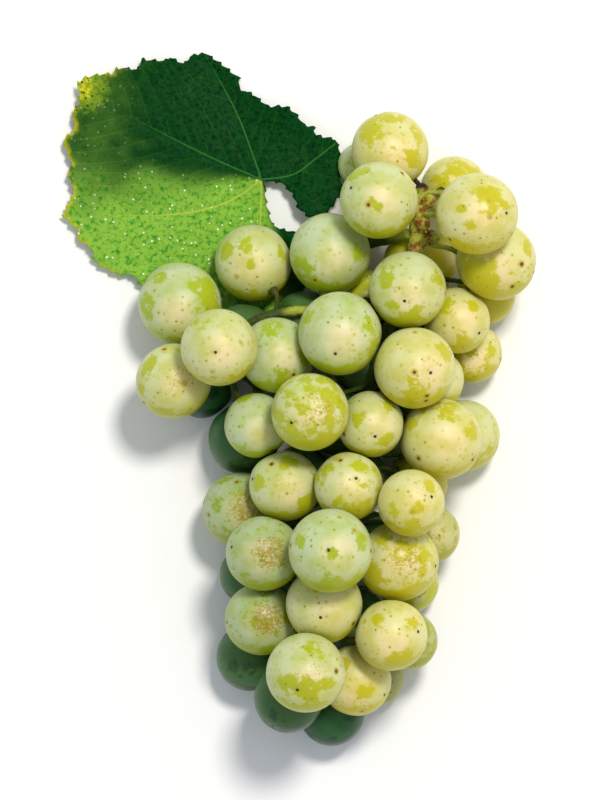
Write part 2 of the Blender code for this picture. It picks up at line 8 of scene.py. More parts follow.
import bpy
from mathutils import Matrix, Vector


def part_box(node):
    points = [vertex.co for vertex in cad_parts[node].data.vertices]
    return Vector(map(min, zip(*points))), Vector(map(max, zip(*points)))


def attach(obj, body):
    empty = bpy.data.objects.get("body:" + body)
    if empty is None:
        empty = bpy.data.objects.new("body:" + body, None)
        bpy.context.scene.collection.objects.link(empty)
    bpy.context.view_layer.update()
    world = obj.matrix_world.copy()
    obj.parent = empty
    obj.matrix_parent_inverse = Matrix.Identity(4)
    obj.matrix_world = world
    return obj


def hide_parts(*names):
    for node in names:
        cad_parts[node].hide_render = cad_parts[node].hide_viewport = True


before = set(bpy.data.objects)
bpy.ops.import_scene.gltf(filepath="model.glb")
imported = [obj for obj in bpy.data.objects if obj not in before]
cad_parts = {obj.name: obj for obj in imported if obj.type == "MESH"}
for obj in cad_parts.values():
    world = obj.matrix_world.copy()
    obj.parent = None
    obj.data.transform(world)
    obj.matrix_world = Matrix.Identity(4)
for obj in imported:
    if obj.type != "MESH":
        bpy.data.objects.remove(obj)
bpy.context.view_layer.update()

# %% The other modules, and the unit
import math

import bmesh
import bpy
import numpy as np
from mathutils import Matrix, Vector, geometry, noise
from mathutils.bvhtree import BVHTree

MM = 0.001

# %% [markdown]
# ## Reading the CAD nodes
#
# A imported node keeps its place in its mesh, so its vertices can be read as an array. Everything below
# starts from these arrays: the berries' middles, the stalk's course and the lie of the leaf.


# %% Read a node's vertices
def node_points(name):
    """The vertices of a CAD node, in millimetres."""
    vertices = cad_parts[name].data.vertices
    points = np.empty(3 * len(vertices))
    vertices.foreach_get("co", points)
    return points.reshape(-1, 3) / MM


stalk_points = node_points("stalk")
print("the stalk has", len(stalk_points), "vertices")

# %% [markdown]
# ## Where the berries are
#
# Each berry of the CAD model is a faceted ball with its vertices on a true sphere, so the sphere that fits
# them best gives its middle and radius exactly. The berries at the back come two to a node. Such a node is
# cut in half across its long direction, and each half is fitted on its own.


# %% Fit a ball to points
def fitted_ball(points):
    """The middle and radius of the sphere that fits the points best, and how far off the worst point is."""
    equations = np.column_stack([2 * points, np.ones(len(points))])
    answer = np.linalg.lstsq(equations, (points**2).sum(axis=1), rcond=None)[0]
    middle = answer[:3]
    radius = math.sqrt(answer[3] + middle @ middle)
    worst = np.abs(np.linalg.norm(points - middle, axis=1) - radius).max()
    return middle, radius, worst


# %% Find every berry
ROUND_ENOUGH = 0.1


def balls_of(node):
    """One ball for a single berry, or one for each berry of a joined pair."""
    points = node_points(node)
    middle, radius, worst = fitted_ball(points)
    if worst < ROUND_ENOUGH:
        return [(middle, radius)]
    spread = points - points.mean(axis=0)
    long_way = np.linalg.eigh(spread.T @ spread)[1][:, -1]
    side = spread @ long_way > 0
    return [fitted_ball(points[side])[:2], fitted_ball(points[~side])[:2]]


berries = []
for node in sorted(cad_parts):
    if node.startswith(("berry_", "back_berries_")):
        found = balls_of(node)
        for half, (middle, radius) in enumerate(found):
            name = node.replace("berry", "grape").replace("berries", "grapes")
            name += "ab"[half] if len(found) > 1 else ""
            berries.append({"name": name, "node": node, "middle": middle, "radius": radius})
middles = np.array([berry["middle"] for berry in berries])
radii = np.array([berry["radius"] for berry in berries])
print(len(berries), "berries, from", round(2 * radii.min(), 1), "to", round(2 * radii.max(), 1), "mm across")

# %% [markdown]
# ## Small helpers
#
# Each piece is a mesh made from points in millimetres. It rides on the CAD body, stands in for its CAD node
# and takes one of the finishes made below. What a material should know about a spot on the piece, such as
# where the bloom is rubbed off, is stored on the mesh as a named attribute.


# %% Make a piece, and paint an attribute on it
def add_piece(name, points, faces, finish, nodes):
    mesh = bpy.data.meshes.new(name)
    mesh.from_pydata([tuple(point) for point in np.asarray(points) * MM], [], faces)
    return add_mesh(name, mesh, finish, nodes)


def add_mesh(name, mesh, finish, nodes):
    mesh.materials.clear()
    mesh.materials.append(finish)
    mesh.shade_smooth()
    piece = bpy.data.objects.new(name, mesh)
    bpy.context.scene.collection.objects.link(piece)
    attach(piece, "root")
    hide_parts(*nodes)
    return piece


def paint(piece, name, values):
    layer = piece.data.attributes.new(name, "FLOAT", "POINT")
    layer.data.foreach_set("value", np.asarray(values, np.float32))


# %% Soft steps and soft noise
def smoothstep(low, high, values):
    share = np.clip((np.asarray(values) - low) / (high - low), 0, 1)
    return share * share * (3 - 2 * share)


def lumps(points, size, seed):
    """Noise from -1 to 1 at each point, with lumps of about the given size in millimetres."""
    shift = Vector((17.3 * seed, 5.1 * seed, -9.7 * seed))
    return np.array([noise.noise(Vector(point) / size + shift) for point in points])


# %% [markdown]
# ## Colours and nodes
#
# Colours are written as sRGB hex values, as a paint chart gives them, and one function turns them linear.
# Another one adds a shader node, sets its values and links its sockets, and it serves every material.


# %% Hex colours, and one function that adds a node
def linear(hex_colour):
    channels = [int(hex_colour[i : i + 2], 16) / 255 for i in (1, 3, 5)]
    return tuple(c / 12.92 if c <= 0.04045 else ((c + 0.055) / 1.055) ** 2.4 for c in channels) + (1.0,)


def add_node(tree, kind, sockets, out=0, **settings):
    """Adds a shader node and gives one output. Each socket, by name or number, takes a value or a link."""
    made = tree.nodes.new("ShaderNode" + kind)
    for key, value in settings.items():
        setattr(made, key, value)
    for key, value in sockets.items():
        if isinstance(value, bpy.types.NodeSocket):
            tree.links.new(value, made.inputs[key])
        else:
            made.inputs[key].default_value = value
    return made.outputs[out]


# A colour mix takes its share at 0 and its two colours at 6 and 7, and gives the mixed colour at output 2.
# A map range takes a value at 0, the range it reads at 1 and 2, and the range it gives at 3 and 4.
COLOURS = {"out": 2, "data_type": "RGBA"}
SOFTLY = {"interpolation_type": "SMOOTHSTEP"}


def start_material(name):
    """A new material, its node tree, the Principled node that it comes with, and the piece's coordinates."""
    made = bpy.data.materials.new(name)
    made.use_nodes = True
    tree = made.node_tree
    places = add_node(tree, "TexCoord", {}, "Object")
    return made, tree, tree.nodes["Principled BSDF"], places


def per_metre(size):
    """The scale of a texture whose features are this many millimetres across, on coordinates in metres."""
    return 1 / (size * MM)


# %% [markdown]
# ## The grape's skin
#
# A green grape's skin is thin and clear, over pale flesh that lets light in and scatters it, so a berry
# glows from inside and its far rim turns a warm yellow-green. On the skin lies the bloom, a whitish wax
# that makes it matt and pale. Where berries chafe on each other or on a leaf the bloom is gone, and the
# glossy yellow-green skin shows in ragged patches. Small brown breathing spots are dotted all over.
#
# One material serves all berries, and the light inside it is subsurface scattering. Some light and shade
# is painted into the colour too: a painted glow of light through the flesh, as bare yellow-green skin low
# on the sides and away from the lamp; a painted creamy highlight in the middle that faces the lamp; a
# painted cool tint of sky light towards the upper left; and painted dark green shade on the berries down
# in the bunch. What differs from berry to berry, and from side to side, it reads from painted attributes:
#
# - rub: the bloom is rubbed off, and bare skin is painted away from the lamp as the painted glow
# - flank: the bloom is painted thin low on a berry's sides and away from the lamp, as the same glow
# - warm: the skin ripened yellow, with the painted sky tint, and cheek: the painted creamy highlight
# - deep: the painted dark green shade, and russet: the sun burnt freckles into the skin
# - scar: the dry spot where the flower was


# %% Grape skin: pale wax bloom over glossy skin, with light inside
def grape_skin():
    made, tree, shader, places = start_material("grape_skin_with_bloom")
    rub, warm, deep, russet, scar, flank, cheek = (
        add_node(tree, "Attribute", {}, "Fac", attribute_name=mark)
        for mark in ("rub", "warm", "deep", "russet", "scar", "flank", "cheek")
    )

    # Two sizes of noise: clouds as wide as a patch a fingertip wipes off, and the ragged grain at a patch's
    # edge
    cloud = {"Vector": places, "Scale": per_metre(5.0), "Detail": 3.0, "Roughness": 0.5}
    clouds = add_node(tree, "TexNoise", cloud)
    grain = {"Vector": places, "Scale": per_metre(3.0), "Detail": 6.0, "Roughness": 0.66}
    ragged = add_node(tree, "TexNoise", grain)
    # The rubbed share holds the painted glow away from the lamp too, so bare skin is painted there as well
    wobble = add_node(tree, "Math", {0: ragged, 1: 3.0, 2: rub}, operation="MULTIPLY_ADD")
    edge = {0: wobble, 1: 1.82, 2: 2.10, 3: 0.0, 4: 0.94}
    bare = add_node(tree, "MapRange", edge, **SOFTLY)

    # The wax is cooler on some berries and warmer on others, painted cooler towards the upper left as sky
    # light, and a little thinner in places. It is painted thin low on the sides and away from the lamp, as a
    # painted glow of light through the flesh, and painted creamy in the middle that faces the lamp, as a
    # painted highlight
    wax_share = {0: warm, 6: linear("#c4cfae"), 7: linear("#dfdaa2")}
    wax = add_node(tree, "Mix", wax_share, **COLOURS)
    skin_share = {0: warm, 6: linear("#9eb400"), 7: linear("#c6bb0a")}
    skin = add_node(tree, "Mix", skin_share, **COLOURS)
    thin = {0: clouds, 1: 0.35, 2: 0.70, 3: 0.16, 4: 0.58}
    thinned = add_node(tree, "MapRange", thin, **SOFTLY)
    # Painted highlight: a creamy tone painted on the wax in the middle that faces the lamp
    highlight_share = add_node(tree, "Math", {0: cheek, 1: 0.58}, operation="MULTIPLY")
    highlighted_wax = add_node(tree, "Mix", {0: highlight_share, 6: wax, 7: linear("#f7ddb4")}, **COLOURS)
    # Painted glow: the wax thins to bare skin low on the sides and away from the lamp
    waxless_and_rim_glow = add_node(tree, "Math", {0: thinned, 1: flank}, operation="MAXIMUM")
    dusted = add_node(tree, "Mix", {0: waxless_and_rim_glow, 6: highlighted_wax, 7: skin}, **COLOURS)
    worn = add_node(tree, "Mix", {0: bare, 6: dusted, 7: skin}, **COLOURS)

    # Sunburnt freckles half a millimetre wide, golden brown, thick where russet is painted
    freckle = {"Vector": places, "Scale": per_metre(0.55), "Detail": 3.0, "Roughness": 0.6}
    freckles = add_node(tree, "TexNoise", freckle)
    amount = add_node(tree, "Math", {0: russet, 1: 0.26, 2: freckles}, operation="MULTIPLY_ADD")
    spread = {0: amount, 1: 0.68, 2: 0.90, 3: 0.0, 4: 0.85}
    burnt = add_node(tree, "MapRange", spread, **SOFTLY)
    golden = {0: burnt, 6: worn, 7: linear("#ab8a1c")}
    tanned = add_node(tree, "Mix", golden, **COLOURS)

    # Breathing spots: one to a cell 1.8 mm wide, dark, a third of a millimetre across, in half of the cells,
    # each in a small freckle of bare skin
    cell = {"Vector": places, "Scale": per_metre(1.8), "Randomness": 1.0}
    spots = add_node(tree, "TexVoronoi", cell, "Distance")
    chance = add_node(tree, "SeparateColor", {0: spots.node.outputs["Color"]})
    small = {0: spots, 1: 0.07, 2: 0.13, 3: 0.9, 4: 0.0}
    dot = add_node(tree, "MapRange", small, **SOFTLY)
    kept = add_node(tree, "Math", {0: chance, 1: 0.5}, operation="GREATER_THAN")
    dots = add_node(tree, "Math", {0: dot, 1: kept}, operation="MULTIPLY")
    around = {0: spots, 1: 0.12, 2: 0.34, 3: 0.55, 4: 0.0}
    freed = add_node(tree, "MapRange", around, **SOFTLY)
    freckled = add_node(tree, "Mix", {0: freed, 6: tanned, 7: skin}, **COLOURS)
    dotted_share = {0: dots, 6: freckled, 7: linear("#57521a")}
    dotted = add_node(tree, "Mix", dotted_share, **COLOURS)

    # Old bruises: reddish brown in a yellow ring, one to a cell 7 mm wide
    wide_cell = {"Vector": places, "Scale": per_metre(7.0), "Randomness": 1.0}
    bruises = add_node(tree, "TexVoronoi", wide_cell, "Distance")
    warped = add_node(tree, "Math", {0: ragged, 1: 0.06, 2: bruises}, operation="MULTIPLY_ADD")
    ring = {0: warped, 1: 0.13, 2: 0.18, 3: 0.75, 4: 0.0}
    halo = add_node(tree, "MapRange", ring, **SOFTLY)
    middle = {0: warped, 1: 0.085, 2: 0.115, 3: 1.0, 4: 0.0}
    core = add_node(tree, "MapRange", middle, **SOFTLY)
    ringed = add_node(tree, "Mix", {0: halo, 6: dotted, 7: linear("#b8a820")}, **COLOURS)
    bruised = add_node(tree, "Mix", {0: core, 6: ringed, 7: linear("#74381a")}, **COLOURS)

    # Painted shade: the berries down in the bunch and at its back are painted dark green, where shade falls.
    # The flower scar is dried brown.
    shade_tones = {0: bare, 6: linear("#28602c"), 7: linear("#0a4420")}
    shaded_green = add_node(tree, "Mix", shade_tones, **COLOURS)
    shaded = add_node(tree, "Mix", {0: deep, 6: bruised, 7: shaded_green}, **COLOURS)
    final = add_node(tree, "Mix", {0: scar, 6: shaded, 7: linear("#4a3316")}, **COLOURS)
    tree.links.new(final, shader.inputs["Base Color"])

    # Wax is matt, bare skin is glossy
    gloss = {0: bare, 1: 0.0, 2: 1.0, 3: 0.42, 4: 0.30}
    tree.links.new(add_node(tree, "MapRange", gloss), shader.inputs["Roughness"])
    shader.inputs["IOR"].default_value = 1.40
    shader.inputs["Subsurface Weight"].default_value = 0.7
    shader.inputs["Subsurface Radius"].default_value = (1.0, 0.9, 0.3)
    shader.inputs["Subsurface Scale"].default_value = 4.0 * MM
    shader.inputs["Specular IOR Level"].default_value = 0.48

    # The wax has a fine crust, and the breathing spots stand up a little
    crust = {"Vector": places, "Scale": per_metre(0.35), "Detail": 2.0}
    height = add_node(tree, "TexNoise", crust)
    raised = add_node(tree, "Math", {0: dots, 1: 0.7, 2: height}, operation="MULTIPLY_ADD")
    bump = {"Height": raised, "Strength": 0.12, "Distance": 0.05 * MM}
    tree.links.new(add_node(tree, "Bump", bump), shader.inputs["Normal"])
    return made


grape_finish = grape_skin()
print("grape skin uses", len(grape_finish.node_tree.nodes), "nodes")

# %% [markdown]
# ## The berries
#
# A real berry is a soft ball on a thin stem. It is a touch longer along the stem, never quite even, and it
# flattens where a neighbour presses. At the far end from the stem the flower left a small dry scar in a
# shallow dimple. Each berry here starts as a sphere of many small triangles and is pushed into that shape
# point by point: that keeps the true size and lets every berry know its own neighbours.

# %% Which way each berry's stem goes
MOST_STEM_GAP = 1.2

for berry in berries:
    off = stalk_points - berry["middle"]
    gaps = np.linalg.norm(off, axis=1)
    nearest = gaps < gaps.min() + MOST_STEM_GAP
    way = off[nearest].mean(axis=0)
    berry["stem_way"] = way / np.linalg.norm(way)
    berry["stem_gap"] = gaps.min() - berry["radius"]
print("no berry is over", round(max(berry["stem_gap"] for berry in berries), 2), "mm from its stem")

# %% A sphere of small triangles
BALL_DIVISIONS = 5

ball_shape = bmesh.new()
bmesh.ops.create_icosphere(ball_shape, subdivisions=BALL_DIVISIONS, radius=1.0)
ball_points = np.array([vertex.co for vertex in ball_shape.verts])
ball_faces = [[vertex.index for vertex in face.verts] for face in ball_shape.faces]
ball_shape.free()
print("each berry has", len(ball_points), "points")

# %% Press a ball into a berry
SWELL = 0.30
LONGER = 0.02
UNEVEN = 0.10
UNEVEN_SIZE = 6.0
CONTACT_REACH = 1.0
CONTACT_GAP = 0.05
SOFT_EDGE = 0.35
PRESSED_DEEPEST = 3 * SOFT_EDGE
TOUCHED_WHOLLY, TOUCHED_AT_ALL = 0.5, 4.5
DIMPLE_DEPTH = 0.30
DIMPLE_WIDTH = 1.5


def pressed_ball(index):
    """The berry's points, none below the table, and how near each one is to where a neighbour touches."""
    berry = berries[index]
    middle, radius, stem_way = berry["middle"], berry["radius"], berry["stem_way"]
    along = ball_points @ stem_way
    reach = (radius + SWELL) * (1 + LONGER * (along**2 - 0.5))
    reach += UNEVEN * lumps(ball_points * radius, UNEVEN_SIZE, index)
    blossom_end = np.arccos(np.clip(-along, -1, 1)) * radius
    reach -= DIMPLE_DEPTH * np.exp(-((blossom_end / DIMPLE_WIDTH) ** 2))
    points = ball_points * reach[:, None]
    touch = np.zeros(len(points))
    for other in range(len(berries)):
        way = middles[other] - middle
        distance = np.linalg.norm(way)
        gap = distance - radius - radii[other]
        if other == index or gap > CONTACT_REACH:
            continue
        way = way / distance
        wall = radius + gap / 2 - CONTACT_GAP
        beyond = points @ way - wall
        push = SOFT_EDGE * np.logaddexp(0, beyond / SOFT_EDGE)
        push = push - SOFT_EDGE * np.logaddexp(0, -wall / SOFT_EDGE)
        points -= np.where(beyond > -PRESSED_DEEPEST, push, 0)[:, None] * way
        turned_away = np.arccos(np.clip(ball_points @ way, -1, 1)) * radius
        touch = np.maximum(touch, 1 - smoothstep(TOUCHED_WHOLLY, TOUCHED_AT_ALL, turned_away))
    points = points + middle
    points[:, 2] = np.maximum(points[:, 2], 0)
    return points, touch


# %% [markdown]
# ### What marks each berry
#
# No two berries look alike. Those on the right side ripened warmer, those on the left stayed cool and
# greenish, a few caught enough sun to freckle, and those down in the bunch are painted dark green, as
# painted shade. The larger rubbed patches are listed for the berries that face up: how far across and
# along the berry, and how wide, each as a share of its radius. Random patches, from a fixed seed, cover
# the rest. Low on the sides and away from the lamp, bare skin is painted on, as a glow through the flesh.

# %% Berries by character
COOL = (3, 12, 14, 16, 17, 21, 31, 32, 33, 37)
WARM = (1, 4, 5, 6, 8, 9, 10, 11, 19, 24, 30, 34, 35, 36, 39, 45, 48)
WARMTH_OF_WARM, WARMTH_OF_COOL, WARMTH_OF_REST = 0.9, 0.08, 0.5
FRECKLED = {
    1: 0.4, 10: 0.5, 18: 0.7, 22: 0.8, 27: 0.4, 28: 0.5, 30: 0.5, 31: 1.25,
    33: 1.3, 34: 0.9, 37: 1.35, 44: 0.6,
}
WORN = {
    3: 0.35, 6: 0.20, 8: 0.9, 10: 0.35, 11: 0.9, 22: 0.4, 29: 0.25, 31: 0.15,
    33: 0.15, 34: 0.35, 35: 0.35, 36: 0.9, 37: 0.15, 40: 0.55, 41: 0.45, 49: 0.7,
}
# Painted shade on single berries, from 0 to 1: dark green where the berry lies in shade
PAINTED_SHADE_BY_BERRY = {
    20: 1.0, 27: 0.96, 31: 0.22, 33: 0.18, 35: 0.22, 37: 0.2,
    41: 0.25, 42: 0.94, 43: 0.94, 46: 0.95, 47: 1.0, 48: 0.45,
}
# The berries at the back are painted dark green, as the shade in the gaps between the others
PAINTED_SHADE_AT_BACK = 0.9
RUBBED = {
    1: [(-0.55, 0.55, 0.42), (0.0, 0.80, 0.38), (0.60, -0.25, 0.30), (0.70, 0.45, 0.25)],
    2: [(-0.18, -0.05, 0.12), (-0.05, -0.22, 0.13), (-0.55, 0.72, 0.28)],
    4: [(-0.45, 0.20, 0.35), (0.10, 0.60, 0.40), (0.55, 0.45, 0.30)],
    5: [
        (0.30, 0.34, 0.34), (0.60, 0.22, 0.20), (-0.42, 0.10, 0.12), (0.02, 0.44, 0.24),
        (-0.20, -0.26, 0.14),
    ],
    6: [(-0.45, -0.45, 0.62), (-0.75, 0.10, 0.35), (0.80, 0.30, 0.20)],
    7: [(0.05, -0.80, 0.42), (-0.55, 0.35, 0.30), (0.75, 0.30, 0.25), (-0.40, -0.40, 0.18)],
    9: [(-0.30, 0.50, 0.30), (0.50, 0.40, 0.20), (0.30, -0.60, 0.30)],
    10: [(-0.30, 0.30, 0.45), (-0.70, -0.30, 0.45), (0.10, 0.75, 0.35)],
    12: [(-0.70, -0.40, 0.35), (0.75, 0.00, 0.22), (-0.20, -0.85, 0.30)],
    13: [(-0.25, 0.45, 0.25), (-0.70, 0.30, 0.25), (-0.05, -0.05, 0.12), (0.75, 0.30, 0.20)],
    14: [(0.62, 0.30, 0.42), (-0.80, -0.05, 0.34), (0.85, -0.20, 0.25), (-0.50, 0.65, 0.22)],
    16: [(0.05, -0.75, 0.45), (-0.10, 0.80, 0.30), (0.80, 0.0, 0.25)],
    17: [(0.72, 0.20, 0.22), (0.78, -0.35, 0.22), (-0.75, 0.45, 0.20)],
    18: [(-0.65, 0.45, 0.28), (-0.85, -0.30, 0.22), (0.20, 0.80, 0.22)],
    19: [(0.0, -0.60, 0.35), (0.70, 0.40, 0.25)],
    22: [(0.55, 0.45, 0.36), (-0.70, -0.20, 0.35), (-0.35, -0.70, 0.35), (0.10, -0.20, 0.15)],
    23: [(-0.45, 0.20, 0.25), (0.45, -0.50, 0.25), (0.55, 0.55, 0.20)],
    24: [(0.10, 0.75, 0.35), (0.75, 0.20, 0.25), (-0.70, 0.40, 0.20)],
    28: [(0.10, 0.70, 0.30), (-0.75, 0.10, 0.25), (0.60, -0.50, 0.28)],
    29: [(-0.60, 0.50, 0.28), (0.30, 0.60, 0.25), (0.40, -0.55, 0.35), (-0.30, -0.55, 0.22)],
    30: [(-0.55, -0.20, 0.25), (0.20, -0.10, 0.20), (0.55, 0.45, 0.22), (0.0, -0.75, 0.30)],
    32: [(0.0, -0.05, 0.14), (0.0, -0.80, 0.35), (0.75, 0.25, 0.20), (-0.75, 0.25, 0.20)],
    34: [(0.10, 0.30, 0.30), (-0.60, -0.35, 0.30), (0.65, 0.20, 0.30)],
    39: [(-0.35, 0.45, 0.25), (0.20, -0.60, 0.35), (0.60, 0.30, 0.25)],
    44: [(0.0, -0.40, 0.38), (-0.45, -0.25, 0.30), (0.55, -0.25, 0.20), (0.20, 0.65, 0.25)],
    45: [(0.25, -0.25, 0.22), (-0.40, 0.45, 0.25)],
}

# %% Where the bloom is rubbed off
PATCHES_AT_RANDOM = 5
PATCH_CORE, PATCH_RIM, RANDOM_RIM = 0.4, 1.7, 1.8
RUBBED_BY_TOUCH, RIM_GLOW_BELOW, RUBBED_BY_HAND = 0.5, 0.95, 0.75
# The way that faces from the lamp, where bare skin is painted as a glow of light through the flesh
AWAY_FROM_LAMP = np.array((0.05, -0.80, -0.60))

dice = np.random.default_rng(7)


def turned_from(way):
    """How far each point of a berry is turned away from this way, in radians."""
    return np.arccos(np.clip(ball_points @ way, -1, 1))


def rub_and_rim_glow_share(number, touch):
    """How far the bloom is rubbed off at each point of a berry: by neighbours, by hand and at random.
    Bare skin is also painted away from the lamp, as a painted glow of light through the flesh.
    """
    patchy = np.clip(0.97 + 0.8 * lumps(ball_points, 0.55, 60 + number), 0, 1)
    # Painted glow: bare skin on the side away from the lamp, for the light that shines through the flesh
    below = RIM_GLOW_BELOW * patchy * smoothstep(0.0, 0.42, ball_points @ AWAY_FROM_LAMP)
    share = np.maximum(RUBBED_BY_TOUCH * touch, below)
    share = share + WORN.get(number, 0.0)
    for across, along, wide in RUBBED.get(number, []):
        turned = turned_from(np.array((across, along, math.sqrt(max(0.0, 1 - across**2 - along**2)))))
        patch = 1 - smoothstep(PATCH_CORE * wide, PATCH_RIM * wide, turned)
        share = np.maximum(share, RUBBED_BY_HAND * patch)
    for _ in range(PATCHES_AT_RANDOM):
        way = dice.normal(size=3)
        wide = dice.uniform(0.12, 0.38)
        strength = dice.uniform(0.45, 0.70)
        if number in RUBBED and way[2] > 0:
            continue
        turned = turned_from(way / np.linalg.norm(way))
        patch = 1 - smoothstep(PATCH_CORE * wide, RANDOM_RIM * wide, turned)
        share = np.maximum(share, strength * patch)
    return share


# %% The other marks on a berry
# Painted highlight: the way each berry's creamy middle faces, towards the lamp, and how much it varies
HIGHLIGHT_WAY = np.array((0.10, -0.06, 0.99))
HIGHLIGHT_SPREAD = 0.22
FRECKLED_WAY = np.array((0.22, 0.05, 0.97))
FRECKLED_WHOLLY, FRECKLED_AT_ALL = 0.25, 0.85
SKYLIGHT_TINT = 0.2
RIM_GLOW_SHARE, SIDE_GLOW_SHARE = 0.82, 0.45


def marks_on(number, touch):
    """What the grape's skin reads from a berry: the share of each mark at each of its points."""
    rub = rub_and_rim_glow_share(number, touch)
    warm = WARMTH_OF_WARM if number in WARM else WARMTH_OF_COOL if number in COOL else WARMTH_OF_REST
    # Painted sky light: each berry is painted cooler towards the upper left, as seen from above, and warmer
    # opposite
    warm = warm + dice.uniform(-0.1, 0.1) + SKYLIGHT_TINT * (ball_points[:, 0] - ball_points[:, 1])
    burnt = 1 - smoothstep(FRECKLED_WHOLLY, FRECKLED_AT_ALL, turned_from(FRECKLED_WAY))
    highlight_way = HIGHLIGHT_WAY + dice.uniform(-HIGHLIGHT_SPREAD, HIGHLIGHT_SPREAD, 3)
    height = ball_points[:, 2]
    # Painted glow: thin bloom low on the sides and away from the lamp, for light through the flesh
    side_glow = SIDE_GLOW_SHARE * (1 - smoothstep(0.10, 0.60, height)) * smoothstep(-0.55, -0.15, height)
    flank = np.maximum(RIM_GLOW_SHARE * smoothstep(-0.45, 0.50, ball_points @ AWAY_FROM_LAMP), side_glow)
    return {
        "rub": rub,
        "warm": np.clip(warm, 0, 1),
        "deep": np.full(len(rub), PAINTED_SHADE_BY_BERRY.get(number, 0.0) if number else PAINTED_SHADE_AT_BACK),
        "russet": FRECKLED.get(number, 0.0) * burnt,
        "scar": np.zeros(len(rub)),
        "flank": flank * np.clip(0.85 + 0.5 * lumps(ball_points, 0.7, 160 + number), 0.25, 1),
        "cheek": smoothstep(0.80, 1.0, ball_points @ highlight_way / np.linalg.norm(highlight_way)),
    }


# %% Build the berries, each with its dry flower scar
SCAR_RADIUS = 0.38
SCAR_HEIGHT = 0.16

scar_shape = bmesh.new()
bmesh.ops.create_icosphere(scar_shape, subdivisions=2, radius=1.0)
scar_points = np.array([vertex.co for vertex in scar_shape.verts])
scar_faces = [[len(ball_points) + vertex.index for vertex in face.verts] for face in scar_shape.faces]
scar_shape.free()

for index, berry in enumerate(berries):
    points, touch = pressed_ball(index)
    blossom_way = -berry["stem_way"]
    lowest = points[np.argmax(ball_points @ blossom_way)]
    height = (scar_points @ blossom_way)[:, None] * blossom_way
    scar = lowest + (scar_points - height * (1 - SCAR_HEIGHT / SCAR_RADIUS)) * SCAR_RADIUS
    points, faces = np.vstack([points, scar]), ball_faces + scar_faces
    piece = add_piece(berry["name"], points, faces, grape_finish, [berry["node"]])
    number = int(berry["node"][-2:]) if berry["node"].startswith("berry_") else 0
    for mark, share in marks_on(number, touch).items():
        paint(piece, mark, np.r_[share, np.full(len(scar), mark == "scar")])
print(len(berries), "berries built, each with", len(points), "points")

# %% [markdown]
# ## The stalk
#
# A bunch's stalk is one branching piece of young wood: green where it still grew, reddish brown and knobbly
# at its joints, and dark where it was cut. Each side stem swells into a small flared seat where its berry
# sits. The CAD stalk is made of straight round bars, so the cells below melt them, with the seats and knobs,
# into one even skin with a voxel remesh, and smooth and roughen it. Melting rounds every joint by itself.


# %% Melt a CAD node and extra lumps into one grown skin
LOWEST_SKIN = 0.02


def add_seat(shape, start, end, wide, narrow):
    """A cone from its wide end at start to its narrow end."""
    along = Vector(end) - Vector(start)
    turn = along.to_track_quat("Z", "Y").to_matrix().to_4x4()
    turn.translation = (Vector(start) + along / 2) * MM
    size = {"radius1": wide * MM, "radius2": narrow * MM, "depth": along.length * MM}
    bmesh.ops.create_cone(shape, cap_ends=True, segments=12, matrix=turn, **size)


def add_knob(shape, middle, radius):
    place = Matrix.Translation(Vector(middle) * MM)
    bmesh.ops.create_icosphere(shape, subdivisions=2, radius=radius * MM, matrix=place)


def grown_mesh(name, shape, voxel, smoothings):
    """The mesh of a bmesh after a voxel remesh and some smoothing, with its points in millimetres."""
    rough = bpy.data.meshes.new(name)
    shape.to_mesh(rough)
    shape.free()
    helper = bpy.data.objects.new(name, rough)
    bpy.context.scene.collection.objects.link(helper)
    melt = helper.modifiers.new("melt", "REMESH")
    melt.mode = "VOXEL"
    melt.voxel_size = voxel * MM
    soften = helper.modifiers.new("soften", "SMOOTH")
    soften.iterations = smoothings
    graph = bpy.context.evaluated_depsgraph_get()
    mesh = bpy.data.meshes.new_from_object(helper.evaluated_get(graph))
    bpy.data.objects.remove(helper, do_unlink=True)
    points = np.array([vertex.co for vertex in mesh.vertices]) / MM
    return mesh, points


def roughen(mesh, points, heights):
    """Moves each point along its normal by its height in millimetres, but never below the table."""
    normals = np.array([vertex.normal for vertex in mesh.vertices])
    moved = points + normals * np.asarray(heights)[:, None]
    moved[:, 2] = np.maximum(moved[:, 2], LOWEST_SKIN)
    mesh.vertices.foreach_set("co", (moved * MM).ravel())
    mesh.update()
    return moved


# %% [markdown]
# ### Young vine wood
#
# The green stems have a thin matt skin with fine lengthwise streaks. Around the joints it turns to a
# reddish-brown cork, and old cuts dry nearly black. Down in the bunch a darker green is painted on, as
# painted shade. The finish reads where from three painted attributes: joint, dry and hidden.


